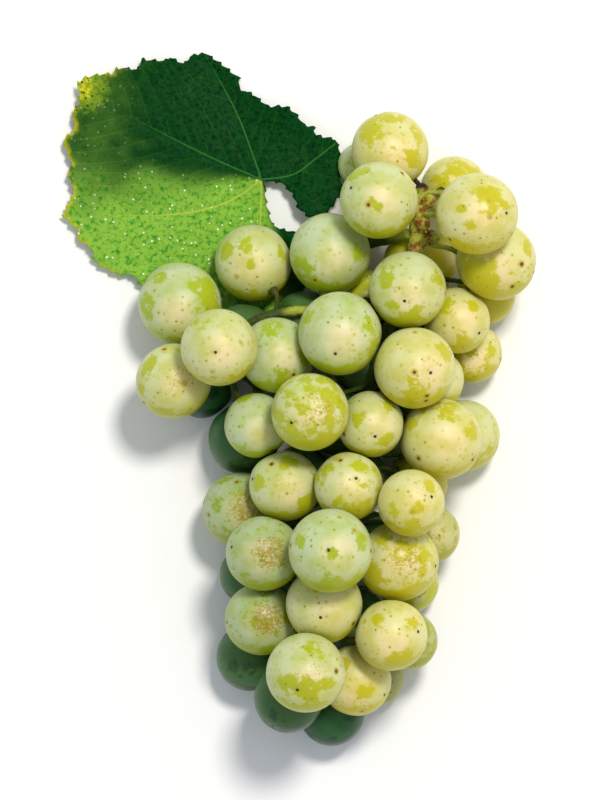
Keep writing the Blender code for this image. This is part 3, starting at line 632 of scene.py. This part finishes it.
# %% Young vine wood: green skin, red-brown cork at the joints
def young_wood(name, green, cork, dark, streak):
    made, tree, shader, places = start_material(name)
    joint, dry, hidden = (
        add_node(tree, "Attribute", {}, "Fac", attribute_name=mark)
        for mark in ("joint", "dry", "hidden")
    )
    blotch = {"Vector": places, "Scale": per_metre(1.4), "Detail": 5.0, "Roughness": 0.65}
    blotches = add_node(tree, "TexNoise", blotch)
    fine = {"Vector": places, "Scale": per_metre(streak), "Detail": 4.0, "Roughness": 0.6}
    streaks = add_node(tree, "TexNoise", fine)
    paler = {0: streaks, 1: 0.35, 2: 0.65, 3: 0.0, 4: 0.5}
    lift = add_node(tree, "MapRange", paler, **SOFTLY)
    fresh = add_node(tree, "Mix", {0: lift, 6: linear(green), 7: linear("#c9c65a")}, **COLOURS)
    # Painted shade: the stems turn dark green where shade is painted on them
    shaded = add_node(tree, "Mix", {0: hidden, 6: fresh, 7: linear("#15300e")}, **COLOURS)
    corky = add_node(tree, "Math", {0: blotches, 1: joint}, operation="ADD")
    spread = {0: corky, 1: 0.72, 2: 0.92, 3: 0.0, 4: 1.0}
    brown = add_node(tree, "MapRange", spread, **SOFTLY)
    corked = add_node(tree, "Mix", {0: brown, 6: shaded, 7: linear(cork)}, **COLOURS)
    final = add_node(tree, "Mix", {0: dry, 6: corked, 7: linear(dark)}, **COLOURS)
    tree.links.new(final, shader.inputs["Base Color"])
    dull = {0: brown, 1: 0.0, 2: 1.0, 3: 0.50, 4: 0.80}
    tree.links.new(add_node(tree, "MapRange", dull), shader.inputs["Roughness"])
    shader.inputs["Specular IOR Level"].default_value = 0.2
    shader.inputs["Subsurface Weight"].default_value = 0.15
    shader.inputs["Subsurface Radius"].default_value = (1.0, 0.8, 0.3)
    shader.inputs["Subsurface Scale"].default_value = 1.0 * MM
    bump = {"Height": streaks, "Strength": 0.5, "Distance": 0.15 * MM}
    tree.links.new(add_node(tree, "Bump", bump), shader.inputs["Normal"])
    return made


stalk_finish = young_wood("young_vine_stalk", "#8c9a26", "#80421e", "#2b1a12", 0.5)
print("young wood uses", len(stalk_finish.node_tree.nodes), "nodes")

# %% Build the stalk
SEAT_WIDE, SEAT_NARROW, SEAT_LENGTH = 1.35, 0.62, 2.2
KNOB_CORK, KNOB_CORK_REACH = 0.31, 1.6
SEAT_CORK, SEAT_CORK_WHOLLY, SEAT_CORK_AT_ALL = 0.26, 0.5, 2.5
CUT_END, CUT_END_REACH = 46.6, 1.2

# Swollen joints, and the stretches left out of the painted shade: each one's middle and radius
KNOBS = [
    (29.8, 44.4, 21.6, 1.7), (28.3, 39.6, 21.4, 2.2), (30.8, 36.4, 20.6, 1.7), (27.6, 42.6, 21.4, 1.5),
    (26.8, 38.6, 20.6, 1.5), (27.0, 33.6, 20.2, 2.0), (28.2, 47.0, 20.4, 1.7), (22.5, 20.0, 18.7, 2.3),
    (14.6, -6.0, 18.5, 2.0), (10.0, -22.0, 18.5, 2.0), (8.0, -36.0, 18.5, 1.9),
]
UNSHADED_STRETCHES = [(28.5, 41.0, 21.0, 9.0), (0.2, 19.8, 22.0, 3.4)]

shape = bmesh.new()
shape.from_mesh(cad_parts["stalk"].data)
seats = []
for berry in berries:
    start = berry["middle"] + berry["stem_way"] * berry["radius"]
    end = start + berry["stem_way"] * SEAT_LENGTH
    add_seat(shape, start, end, SEAT_WIDE, SEAT_NARROW)
    seats.append(end)
for *middle, radius in KNOBS:
    add_knob(shape, middle, radius)
stalk_mesh, points = grown_mesh("grape_stalk", shape, 0.28, 3)
points = roughen(stalk_mesh, points, 0.16 * lumps(points, 1.3, 3) + 0.10 * lumps(points, 0.6, 4))
stalk = add_mesh("grape_stalk", stalk_mesh, stalk_finish, ["stalk"])
knob_gap = np.min([np.linalg.norm(points - middle, axis=1) - radius for *middle, radius in KNOBS], axis=0)
seat_gap = np.min([np.linalg.norm(points - seat, axis=1) for seat in seats], axis=0)
knob_cork = KNOB_CORK * (1 - smoothstep(0, KNOB_CORK_REACH, knob_gap))
seat_cork = SEAT_CORK * (1 - smoothstep(SEAT_CORK_WHOLLY, SEAT_CORK_AT_ALL, seat_gap))
paint(stalk, "joint", np.maximum(knob_cork, seat_cork))
paint(stalk, "dry", smoothstep(CUT_END, CUT_END + CUT_END_REACH, points[:, 1]))
# Painted shade: dark green is painted on the stalk away from the stretches listed above
shade = np.min([np.linalg.norm(points - middle, axis=1) / reach for *middle, reach in UNSHADED_STRETCHES], axis=0)
paint(stalk, "hidden", 0.9 * smoothstep(0.8, 1.5, shade))
print("the stalk has", len(points), "points and", len(seats), "seats for berries")

# %% [markdown]
# ## The shoot and the leaf's own stem
#
# The bunch grew from a shoot of this year's wood, which is ridged lengthwise and brown where it has
# ripened. The leaf's stem, or petiole, is thin, green and flushed red. Both lie low under the berries. They
# are melted from their CAD bars like the stalk, and a wave round the bar makes the ridges.

# %% Build the shoot and the petiole
shoot_finish = young_wood("ripened_vine_shoot", "#7d6a34", "#6b3f22", "#2b1a12", 0.9)
petiole_finish = young_wood("red_flushed_petiole", "#8f9a3c", "#8c3f2e", "#3a1d16", 0.4)
RIDGES = 9
SKIN_ROUGHNESS = 0.08


def thin_stem(name, node, finish, voxel, ridge, seed):
    """A stem remade from its CAD bar, with ridges along it and an uneven skin."""
    shape = bmesh.new()
    shape.from_mesh(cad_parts[node].data)
    mesh, points = grown_mesh(name, shape, voxel, 2)
    middle = points.mean(axis=0)
    around = np.arctan2(points[:, 2] - middle[2], points[:, 0] - middle[0])
    skin = SKIN_ROUGHNESS * lumps(points, 1.5, seed)
    points = roughen(mesh, points, ridge * np.cos(RIDGES * around) + skin - 0.05)
    piece = add_mesh(name, mesh, finish, [node])
    paint(piece, "joint", 0.25 + 0.1 * lumps(points, 4.0, seed + 1))
    for mark in ("dry", "hidden"):
        paint(piece, mark, np.zeros(len(points)))
    print(name, "has", len(points), "points")


thin_stem("cut_vine_shoot", "vine_shoot", shoot_finish, 0.35, 0.12, 21)
thin_stem("leaf_stem", "leaf_petiole", petiole_finish, 0.22, 0.03, 31)

# %% [markdown]
# ## The vine leaf
#
# A vine leaf is a thin blade on five main veins that fan out from the end of its stem. Its edge is cut into
# blunt teeth, and between the veins the blade puffs up a little like a quilt. Here the outline and the veins
# are drawn as lines first. A triangulation that must keep those lines fills the blade between them, so that
# every vein runs along mesh edges and stays sharp. Then each point is lifted to its height. The outline
# below has the leaf's large teeth, and small hooked ones are cut into the rim between them.

# %% The leaf's outline and its main veins, in millimetres from where the stem meets the blade
LEAF_EDGE = [
    (-13.4, 29.6), (-9.0, 26.6), (-5.1, 23.4), (-5.1, 21.1), (-1.6, 19.4), (1.6, 16.9), (6.0, 16.9),
    (8.3, 14.8), (9.9, 12.5), (12.0, 12.3), (12.5, 10.2), (16.9, 9.25), (17.8, 7.4), (18.3, 4.2),
    (19.4, 3.2), (18.0, -0.5), (18.7, -1.9), (17.6, -4.0), (14.6, -8.6), (10.9, -8.8), (8.6, -6.9),
    (7.2, -3.7), (4.4, -0.5), (0.7, -0.4), (0.9, -2.0), (1.2, -5.1), (2.3, -9.7), (4.2, -11.3),
    (7.6, -12.0), (10.4, -19.0), (9.6, -27.0), (6.0, -33.0), (-2.0, -35.0), (-10.0, -31.5),
    (-19.0, -29.5), (-28.0, -23.8), (-29.4, -21.7), (-33.3, -21.7), (-35.9, -20.4), (-38.4, -18.5),
    (-39.1, -15.7), (-42.6, -13.4), (-41.9, -11.8), (-45.6, -8.1), (-43.7, -4.2), (-43.0, -1.9),
    (-44.7, 1.4), (-43.5, 3.2), (-44.4, 5.6), (-45.6, 9.0), (-42.8, 11.6), (-43.5, 15.5), (-41.9, 17.6),
    (-42.1, 22.2), (-40.3, 23.6), (-37.7, 24.1), (-34.0, 24.5), (-33.3, 25.7), (-28.5, 25.4),
    (-27.5, 27.8), (-22.4, 27.3), (-21.1, 28.2), (-17.8, 26.8), (-16.7, 28.2),
]
MAIN_VEINS = [
    [(0.0, 0.0), (-13.5, 6.1), (-32.0, 15.6), (-41.0, 21.4)],
    [(0.0, 0.0), (-4.5, 12.5), (-7.9, 19.7), (-12.9, 28.6)],
    [(0.0, 0.0), (7.2, 1.2), (12.5, 4.9), (16.8, 8.2)],
    [(0.0, 0.0), (-8.3, -5.2), (-20.7, -7.9), (-44.4, -8.2)],
    [(0.0, 0.0), (-0.3, -9.3), (-1.2, -20.0), (-2.6, -33.6)],
]
leaf_low, leaf_high = (np.array(corner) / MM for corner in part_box("leaf_blade"))
edge_span = max(x for x, _ in LEAF_EDGE) - min(x for x, _ in LEAF_EDGE)
leaf_scale = (leaf_high[0] - leaf_low[0]) / edge_span
left_end = leaf_low[0] - leaf_scale * min(x for x, _ in LEAF_EDGE)
leaf_corner = np.array([left_end, leaf_high[1] - leaf_scale * LEAF_EDGE[0][1]])
print("the leaf is", round(edge_span * leaf_scale, 1), "mm wide, its stem joins it at", leaf_corner.round(1))

# %% Draw the lines finely, with side veins
LINE_STEP = 0.8
SIDE_STEP = 4.6
SIDE_ANGLE = 48.0
SIDE_BEND = 0.7
FIRST_SIDE, LAST_SIDE, SIDE_OFFSET = 5, 3, 2
SHORTEST_SIDE, LONGEST_SIDE = 4, 60
VEIN_ROOM = 1.1
EDGE_ROOM = 0.6


def finely(line, step):
    """Points every step or so along a smooth curve through the line's own points."""
    knots = [Vector((*point, 0)) for point in line]
    padded = [2 * knots[0] - knots[1]] + knots + [2 * knots[-1] - knots[-2]]
    found = []
    for before, start, end, after in zip(padded, padded[1:], padded[2:], padded[3:]):
        pieces = max(1, round((end - start).length / step))
        for t in np.arange(pieces) / pieces:
            bend = (2 * before - 5 * start + 4 * end - after) * t**2
            bend += (3 * (start - end) + after - before) * t**3
            found.append((start + 0.5 * ((end - before) * t + bend))[:2])
    return np.array(found + [knots[-1][:2]])


def gap_to_lines(points, lines):
    """The plan distance from each point to the nearest of some lines of short straight pieces."""
    start = np.vstack([line[:-1] for line in lines])
    along = np.vstack([line[1:] - line[:-1] for line in lines])
    off = points[:, None] - start
    share = np.clip((off * along).sum(axis=2) / (along**2).sum(axis=1), 0, 1)
    return np.linalg.norm(off - share[..., None] * along, axis=2).min(axis=1)


def inside_edge(points, edge):
    """Whether each point lies inside the closed line, by how often a ray from it crosses the line."""
    within = np.zeros(len(points), bool)
    for (ax, ay), (bx, by) in zip(edge, np.roll(edge, -1, axis=0)):
        if ay != by:
            crosses = (ay > points[:, 1]) != (by > points[:, 1])
            within ^= crosses & (points[:, 0] < ax + (bx - ax) * (points[:, 1] - ay) / (by - ay))
    return within


def closed(line):
    return np.vstack([line, line[:1]])


edge_line = np.array(LEAF_EDGE)
main_lines = [finely(vein, LINE_STEP) for vein in MAIN_VEINS]
side_lines = []
for number, line in enumerate(main_lines):
    others = [other for k, other in enumerate(main_lines) if k != number]
    for start in range(FIRST_SIDE, len(line) - LAST_SIDE, round(SIDE_STEP / LINE_STEP)):
        for side in (-1, 1):
            begin = min(start + (side > 0) * SIDE_OFFSET, len(line) - LAST_SIDE)
            way = line[begin + 1] - line[begin]
            heading = math.atan2(way[1], way[0]) + side * math.radians(SIDE_ANGLE)
            side_line = [line[begin]]
            for _ in range(LONGEST_SIDE):
                heading -= side * math.radians(SIDE_BEND)
                step = side_line[-1] + LINE_STEP * np.array((math.cos(heading), math.sin(heading)))
                near_vein = gap_to_lines(step[None], others + side_lines)[0] < VEIN_ROOM
                near_edge = gap_to_lines(step[None], [closed(edge_line)])[0] < EDGE_ROOM
                if near_vein or near_edge:
                    break
                side_line.append(step)
            if len(side_line) > SHORTEST_SIDE:
                side_lines.append(np.array(side_line))
print(len(main_lines), "main veins and", len(side_lines), "side veins")

# %% Cut the rim into small teeth
RIM_STEP = 0.5
TOOTH_LENGTH = 0.75
TOOTH_WIDTH = 2.6
TOOTH_NOISE = 0.16
TOOTH_NOISE_SIZE = 1.1
TOOTH_HOOK = 1.5
TOOTH_SINK = 0.4

rim = []
gone = 0.0
for start, end in zip(edge_line, np.roll(edge_line, -1, axis=0)):
    length = np.linalg.norm(end - start)
    outward = np.array((start[1] - end[1], end[0] - start[0])) / length
    pieces = max(1, round(length / RIM_STEP))
    for k in range(pieces):
        share = ((gone + length * k / pieces) / TOOTH_WIDTH) % 1
        tooth = TOOTH_LENGTH * (share**TOOTH_HOOK - TOOTH_SINK)
        rim.append(start + (end - start) * k / pieces + outward * tooth)
    gone += length
rim = np.array(rim)
flat_rim = np.c_[rim, 0 * rim[:, 0]]
rim += TOOTH_NOISE * np.column_stack([lumps(flat_rim, TOOTH_NOISE_SIZE, seed) for seed in (41, 42)])
print("the rim has", len(rim), "points and about", round(gone / TOOTH_WIDTH), "small teeth")

# %% Fill the blade with triangles that keep those lines
BLADE_STEP = 0.8
NEAREST_POINT = 0.45 * BLADE_STEP
SAME_POINT = 1e-4

lines = main_lines + side_lines
low, high = edge_line.min(axis=0), edge_line.max(axis=0)
columns, rows = (np.arange(low[k], high[k], BLADE_STEP) for k in (0, 1))
grid = np.stack(np.meshgrid(columns, rows), axis=-1)
grid[1::2, :, 0] += BLADE_STEP / 2
grid = grid.reshape(-1, 2)
room = gap_to_lines(grid, lines + [closed(rim)])
grid = grid[(room > NEAREST_POINT) & inside_edge(grid, rim)]
flat = [Vector(point) for point in np.vstack([rim] + lines + [grid])]
kept_edges = [(k, (k + 1) % len(rim)) for k in range(len(rim))]
first = len(rim)
for line in lines:
    kept_edges += [(first + k, first + k + 1) for k in range(len(line) - 1)]
    first += len(line)
blade_plan, _, blade_faces, *_ = geometry.delaunay_2d_cdt(flat, kept_edges, [], 0, SAME_POINT)
blade_plan = np.array(blade_plan)
within = inside_edge(np.array([blade_plan[list(face)].mean(axis=0) for face in blade_faces]), rim)
blade_faces = [face for face, kept in zip(blade_faces, within) if kept]
used = sorted({corner for face in blade_faces for corner in face})
renumbered = {old: new for new, old in enumerate(used)}
blade_faces = [[renumbered[corner] for corner in face] for face in blade_faces]
blade_plan = blade_plan[used]
print("the blade has", len(blade_plan), "points")

# %% [markdown]
# ### How the blade lies
#
# The blade rests where the CAD blade rests and arches over its stem in the same way. On top of that it
# puffs up between its veins, folds down along the vein towards its top and curls up a little at its free
# edge. A berry that lies on the leaf holds it down, so nowhere does the blade come up into a berry.

# %% Lift the blade
BLADE_THICKNESS = 0.32
QUILT_HEIGHT = 0.38
QUILT_REACH = 1.5
QUILT_SIDE = 1.3
QUILT_SINK = 0.3
CRINKLE, CRINKLE_SIZE = 0.10, 1.6
FOLD_RISE = 1.7
FOLD_REACH = 6.0
CURL_RISE = 1.9
CURL_REACH = 4.5
CURL_SIZE = 11.0
STILL_CORE, STILL_RIM = 4, 16
BERRY_ROOM = 0.10
TABLE_ROOM = 0.05

blade_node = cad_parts["leaf_blade"].data
corners = [vertex.co / MM for vertex in blade_node.vertices]
blade_tree = BVHTree.FromPolygons(corners, [polygon.vertices for polygon in blade_node.polygons])
placed = leaf_corner + leaf_scale * blade_plan
base = []
for x, y in placed:
    hit = blade_tree.ray_cast(Vector((x, y, 20)), Vector((0, 0, -1)))[0]
    base.append((hit or blade_tree.find_nearest(Vector((x, y, 0)))[0]).z)
base = np.array(base)
main_gap = gap_to_lines(blade_plan, main_lines)
side_gap = gap_to_lines(blade_plan, side_lines)
rim_gap = gap_to_lines(blade_plan, [closed(rim)])
fold_gap = gap_to_lines(blade_plan, [main_lines[1]])
ground = np.c_[blade_plan, np.zeros(len(blade_plan))]
quilt_gap = np.minimum(main_gap, side_gap * QUILT_SIDE)
quilt = QUILT_HEIGHT * (1 - np.exp(-((quilt_gap / QUILT_REACH) ** 2)))
away = smoothstep(STILL_CORE, STILL_RIM, np.linalg.norm(blade_plan, axis=1))
fold = FOLD_RISE * (1 - np.exp(-((fold_gap / FOLD_REACH) ** 2))) * away
curl = CURL_RISE * np.exp(-rim_gap / CURL_REACH) * (0.6 + 0.8 * lumps(ground, CURL_SIZE, 43)) * away
top = base - QUILT_SINK + quilt + np.maximum(fold + curl, 0) + CRINKLE * lumps(ground, CRINKLE_SIZE, 44)
for middle, radius in zip(middles, radii):
    off = np.linalg.norm(placed - middle[:2], axis=1)
    under = off < radius + SWELL
    ceiling = middle[2] - np.sqrt(np.maximum((radius + SWELL) ** 2 - off**2, 0)) - BERRY_ROOM
    top = np.where(under, np.minimum(top, ceiling), top)
top = np.maximum(top, BLADE_THICKNESS + TABLE_ROOM)
print("the blade rises to", round(top.max(), 1), "mm")

# %% [markdown]
# ### The leaf's skin
#
# The upper skin of a vine leaf is smooth and slightly waxy. Light and shade are painted into its colour: a
# light green as painted light on the half that faces the lamp, and a dark green as painted shade on the
# half that turns away. The veins are a pale yellow-green. This leaf is at the end of its summer: mottled,
# dusted with dried drops of spray, and yellow with black specks at one corner.
# The lie of the veins comes from the lines that were drawn above, as a painted distance to the nearest one,
# so a vein stays as thin as it should be at any distance.


# %% Vine leaf skin: mottled green with pale veins
def leaf_skin():
    made, tree, shader, places = start_material("vine_leaf_skin")
    sunny, old, main, side, tip = (
        add_node(tree, "Attribute", {}, "Fac", attribute_name=mark)
        for mark in ("sunny", "old", "main_vein", "side_vein", "tooth_tip")
    )

    # Mottling, with grains about a millimetre wide, as wide as the leaf's smallest islands between veins.
    # It darkens both halves of the leaf, and it frays the edge between the painted lit half and the painted
    # shaded half.
    mottle = {"Vector": places, "Scale": per_metre(1.1), "Detail": 6.0, "Roughness": 0.72}
    mottling = add_node(tree, "TexNoise", mottle)
    speck = {0: mottling, 1: 0.46, 2: 0.64, 3: 0.0, 4: 1.0}
    specks = add_node(tree, "MapRange", speck, **SOFTLY)
    # Painted light and shade: a light green for the lit half, a dark green for the half in shade
    light = {0: specks, 6: linear("#8ab940"), 7: linear("#2c8a22")}
    painted_lit_green = add_node(tree, "Mix", light, **COLOURS)
    shade = {0: specks, 6: linear("#003d12"), 7: linear("#002409")}
    dark = add_node(tree, "Mix", shade, **COLOURS)
    lit = add_node(tree, "Math", {0: mottling, 1: 0.5, 2: sunny}, operation="MULTIPLY_ADD")
    split = {0: lit, 1: 0.36, 2: 1.10, 3: 0.0, 4: 1.0}
    painted_light_share = add_node(tree, "MapRange", split, **SOFTLY)
    green = add_node(tree, "Mix", {0: painted_light_share, 6: dark, 7: painted_lit_green}, **COLOURS)

    # The finest veins form a net with meshes 1.4 mm wide, drawn coarser than real so that it shows. The side
    # veins and the main veins are threads of a quarter and a third of a millimetre, painted fainter and
    # darker on the half where shade is painted.
    net = {"Vector": places, "Scale": per_metre(1.4), "Randomness": 0.9}
    meshes = add_node(tree, "TexVoronoi", net, "Distance", feature="DISTANCE_TO_EDGE")
    thread = {0: meshes, 1: 0.02, 2: 0.12, 3: 0.10, 4: 0.0}
    threads = add_node(tree, "MapRange", thread, **SOFTLY)
    netted = add_node(tree, "Mix", {0: threads, 6: green, 7: linear("#2f7a20")}, **COLOURS)
    side_line = {0: side, 1: 0.08, 2: 0.22, 3: 0.42, 4: 0.0}
    side_share = add_node(tree, "MapRange", side_line, **SOFTLY)
    shown = add_node(tree, "MapRange", {0: painted_light_share, 1: 0.0, 2: 1.0, 3: 0.07, 4: 0.8})
    side_shown = add_node(tree, "Math", {0: side_share, 1: shown}, operation="MULTIPLY")
    sided = add_node(tree, "Mix", {0: side_shown, 6: netted, 7: linear("#86a638")}, **COLOURS)
    main_line = {0: main, 1: 0.10, 2: 0.25, 3: 0.9, 4: 0.0}
    main_share = add_node(tree, "MapRange", main_line, **SOFTLY)
    # The main veins are painted dark on the half in shade, as painted shade
    vein_tone = {0: painted_light_share, 6: linear("#2f6c28"), 7: linear("#b4bf48")}
    vein = add_node(tree, "Mix", vein_tone, **COLOURS)
    veined = add_node(tree, "Mix", {0: main_share, 6: sided, 7: vein}, **COLOURS)

    # The old corner: paler, then yellow, with brown-black specks; and thin yellow tips on the teeth
    aged = add_node(tree, "Math", {0: mottling, 1: 1.4, 2: old}, operation="MULTIPLY_ADD")
    fade = {0: aged, 1: 1.05, 2: 1.50, 3: 0.0, 4: 0.8}
    fade_share = add_node(tree, "MapRange", fade, **SOFTLY)
    paled = add_node(tree, "Mix", {0: fade_share, 6: veined, 7: linear("#7f9d22")}, **COLOURS)
    faded = {0: aged, 1: 1.46, 2: 1.84, 3: 0.0, 4: 0.9}
    yellow_share = add_node(tree, "MapRange", faded, **SOFTLY)
    tipped = add_node(tree, "Math", {0: yellow_share, 1: tip}, operation="MAXIMUM")
    yellowed = add_node(tree, "Mix", {0: tipped, 6: paled, 7: linear("#d3ca24")}, **COLOURS)
    rot = {"Vector": places, "Scale": per_metre(1.3), "Randomness": 1.0}
    rots = add_node(tree, "TexVoronoi", rot, "Distance")
    rotten = {0: rots, 1: 0.16, 2: 0.26, 3: 1.0, 4: 0.0}
    rot_spot = add_node(tree, "MapRange", rotten, **SOFTLY)
    where = {0: old, 1: 0.25, 2: 0.55, 3: 0.0, 4: 0.9}
    rot_place = add_node(tree, "MapRange", where, **SOFTLY)
    rot_share = add_node(tree, "Math", {0: rot_spot, 1: rot_place}, operation="MULTIPLY")
    spotted = add_node(tree, "Mix", {0: rot_share, 6: yellowed, 7: linear("#3a2a12")}, **COLOURS)

    # Dried spray: white dots under half a millimetre across, only on the half where light is painted
    drop = {"Vector": places, "Scale": per_metre(1.5), "Randomness": 1.0}
    drops = add_node(tree, "TexVoronoi", drop, "Distance")
    chance = add_node(tree, "SeparateColor", {0: drops.node.outputs["Color"]})
    dot = {0: drops, 1: 0.10, 2: 0.19, 3: 1.0, 4: 0.0}
    white = add_node(tree, "MapRange", dot, **SOFTLY)
    rare = add_node(tree, "Math", {0: chance, 1: 0.42}, operation="GREATER_THAN")
    fallen = add_node(tree, "Math", {0: white, 1: rare}, operation="MULTIPLY")
    where_dry = add_node(tree, "Math", {0: fallen, 1: painted_light_share}, operation="MULTIPLY")
    final = add_node(tree, "Mix", {0: where_dry, 6: spotted, 7: linear("#eef4dc")}, **COLOURS)
    tree.links.new(final, shader.inputs["Base Color"])

    rough = {0: specks, 1: 0.0, 2: 1.0, 3: 0.48, 4: 0.65}
    tree.links.new(add_node(tree, "MapRange", rough), shader.inputs["Roughness"])
    shader.inputs["IOR"].default_value = 1.42
    shader.inputs["Specular IOR Level"].default_value = 0.06
    shader.inputs["Subsurface Weight"].default_value = 0.15
    shader.inputs["Subsurface Radius"].default_value = (0.6, 1.0, 0.2)
    shader.inputs["Subsurface Scale"].default_value = 0.6 * MM
    raised = add_node(tree, "Math", {0: meshes, 1: 0.8, 2: mottling}, operation="MULTIPLY_ADD")
    bump = {"Height": raised, "Strength": 0.6, "Distance": 0.22 * MM}
    tree.links.new(add_node(tree, "Bump", bump), shader.inputs["Normal"])
    return made


leaf_finish = leaf_skin()
print("leaf skin uses", len(leaf_finish.node_tree.nodes), "nodes")

# %% Build the leaf
points = np.c_[placed, top]
under = np.c_[placed, top - BLADE_THICKNESS]
count = len(points)
blade = bmesh.new()
corners = [blade.verts.new(Vector(point) * MM) for point in np.vstack([points, under])]
for face in blade_faces:
    blade.faces.new([corners[k] for k in face])
    blade.faces.new([corners[count + k] for k in reversed(face)])
blade.verts.index_update()
for edge in list(blade.edges):
    a, b = (vertex.index for vertex in edge.verts)
    if edge.is_boundary and a < count and b < count:
        blade.faces.new([corners[a], corners[b], corners[count + b], corners[count + a]])
bmesh.ops.recalc_face_normals(blade, faces=blade.faces)
leaf_mesh = bpy.data.meshes.new("vine_leaf")
blade.to_mesh(leaf_mesh)
blade.free()
leaf = add_mesh("vine_leaf", leaf_mesh, leaf_finish, ["leaf_blade"])
print("the leaf has", 2 * count, "points")

# %% Paint the leaf
# Light and shade are painted on the leaf: it is painted lit between two directions from where its stem
# joins, in degrees, and a little lit on its free side, and painted in shade elsewhere. The old corner, the
# free side and the yellow tips are placed in the drawing's millimetres.
SUNNY_FROM, SUNNY_WHOLLY, SHADED_FROM, SHADED_WHOLLY = 148, 211, 268, 300
FREE_SIDE_FROM, FREE_SIDE_WHOLLY = -14, -38
OLD_CORNER = np.array((-41.0, 21.5))
OLD_REACH = 11.5
TIP_FROM, TIP_WHOLLY = -30, -37
VEIN_THINS = 0.22

angle = np.degrees(np.arctan2(blade_plan[:, 1], blade_plan[:, 0])) % 360
sector = smoothstep(SUNNY_FROM, SUNNY_WHOLLY, angle) * (1 - smoothstep(SHADED_FROM, SHADED_WHOLLY, angle))
sunny = sector + 0.16 * lumps(ground, 6.0, 46) - 0.05
painted_free_side_light = 0.30 * smoothstep(FREE_SIDE_FROM, FREE_SIDE_WHOLLY, blade_plan[:, 0])
painted_free_side_light = painted_free_side_light + 0.10 * lumps(ground, 3.0, 47)
on_rim = 0.7 * (1 - smoothstep(0.15, 0.9, rim_gap)) * (lumps(ground, 5.0, 45) > -0.05)
leaf_marks = {
    "sunny": np.maximum(sunny, painted_free_side_light),
    "old": 1 - smoothstep(0.0, OLD_REACH, np.linalg.norm(blade_plan - OLD_CORNER, axis=1)),
    "main_vein": main_gap + VEIN_THINS * smoothstep(12, 42, np.linalg.norm(blade_plan, axis=1)),
    "side_vein": side_gap,
    "tooth_tip": on_rim * smoothstep(TIP_FROM, TIP_WHOLLY, blade_plan[:, 0]),
}
for mark, share in leaf_marks.items():
    paint(leaf, mark, np.r_[share, share])
print("painted on the leaf:", ", ".join(leaf_marks))

# %% [markdown]
# ## Light, table and camera
#
# The bunch lies on a plain pale table. One warm lamp high up and a little towards the stalk end draws the
# soft round glow on each berry and the shadows between them, together with the glow, highlight and shade
# that are painted on the berries, the stalk and the leaf. The pale surroundings fill in a cooler light from
# all sides. The camera looks straight down on the bunch from far off, so that sizes stay true.

# %% Pale table
TABLE_SIDE = 4.0


def table_top():
    """Painted board, matt and nearly white, with faint clouds 30 mm wide, as a roller leaves them."""
    made, tree, shader, places = start_material("pale_table_top")
    speckle = {"Vector": places, "Scale": per_metre(30.0), "Detail": 4.0}
    share = add_node(tree, "TexNoise", speckle)
    cloudy = {0: share, 6: linear("#f6f6f6"), 7: linear("#fafafa")}
    colour = add_node(tree, "Mix", cloudy, **COLOURS)
    tree.links.new(colour, shader.inputs["Base Color"])
    shader.inputs["Roughness"].default_value = 0.9
    shader.inputs["Specular IOR Level"].default_value = 0.1
    return made


half = TABLE_SIDE / 2
table_corners = [(-half, -half, 0), (half, -half, 0), (half, half, 0), (-half, half, 0)]
table_mesh = bpy.data.meshes.new("table")
table_mesh.from_pydata(table_corners, [], [(0, 1, 2, 3)])
table_mesh.materials.append(table_top())
table = bpy.data.objects.new("table", table_mesh)
bpy.context.scene.collection.objects.link(table)
print("the table is", TABLE_SIDE, "m square")

# %% Lamp and surroundings
# The lamp's distance and width are in metres, its tilt and turn in degrees and its power in watts
LAMP_DISTANCE = 1.3
LAMP_TILT = 26.0
LAMP_TURN = 28.0
LAMP_WIDTH = 0.24
LAMP_POWER = 12.5
ROOM_STRENGTH = 0.58

tilt, turn = math.radians(LAMP_TILT), math.radians(LAMP_TURN)
lamp_way = Vector((math.sin(tilt) * math.sin(turn), math.sin(tilt) * math.cos(turn), math.cos(tilt)))
lamp_data = bpy.data.lights.new("warm_lamp", "AREA")
lamp_data.shape = "DISK"
lamp_data.size = LAMP_WIDTH
lamp_data.energy = LAMP_POWER
lamp_data.color = linear("#fffaf2")[:3]
lamp = bpy.data.objects.new("warm_lamp", lamp_data)
lamp.location = lamp_way * LAMP_DISTANCE
lamp.rotation_mode = "QUATERNION"
lamp.rotation_quaternion = lamp_way.to_track_quat("Z", "Y")
bpy.context.scene.collection.objects.link(lamp)

world = bpy.data.worlds.new("pale_room")
world.use_nodes = True
backdrop = world.node_tree.nodes["Background"]
backdrop.inputs["Color"].default_value = linear("#f0f5fc")
backdrop.inputs["Strength"].default_value = ROOM_STRENGTH
bpy.context.scene.world = world
bpy.context.scene.view_settings.view_transform = "Standard"
print("the lamp stands", LAMP_TILT, "degrees off straight up and", LAMP_DISTANCE, "m away")

# %% Camera, straight above
# All in millimetres: a long lens from far off shows a stretch of the table this high, at the bunch's middle
BUNCH_MIDDLE = 22.0
CAMERA_DISTANCE = 1500.0
CAMERA_MIDDLE = (0.64, -0.66)
FRAME_HEIGHT = 181.4
SENSOR = 36.0

camera_data = bpy.data.cameras.new("camera")
camera_data.sensor_width = SENSOR
camera_data.lens = SENSOR * CAMERA_DISTANCE / FRAME_HEIGHT
camera = bpy.data.objects.new("camera", camera_data)
camera.location = Vector((*CAMERA_MIDDLE, BUNCH_MIDDLE + CAMERA_DISTANCE)) * MM
camera.rotation_euler = (0, 0, 0)
bpy.context.scene.collection.objects.link(camera)
bpy.context.scene.camera = camera
print("the camera looks down from", CAMERA_DISTANCE * MM, "m above the bunch")
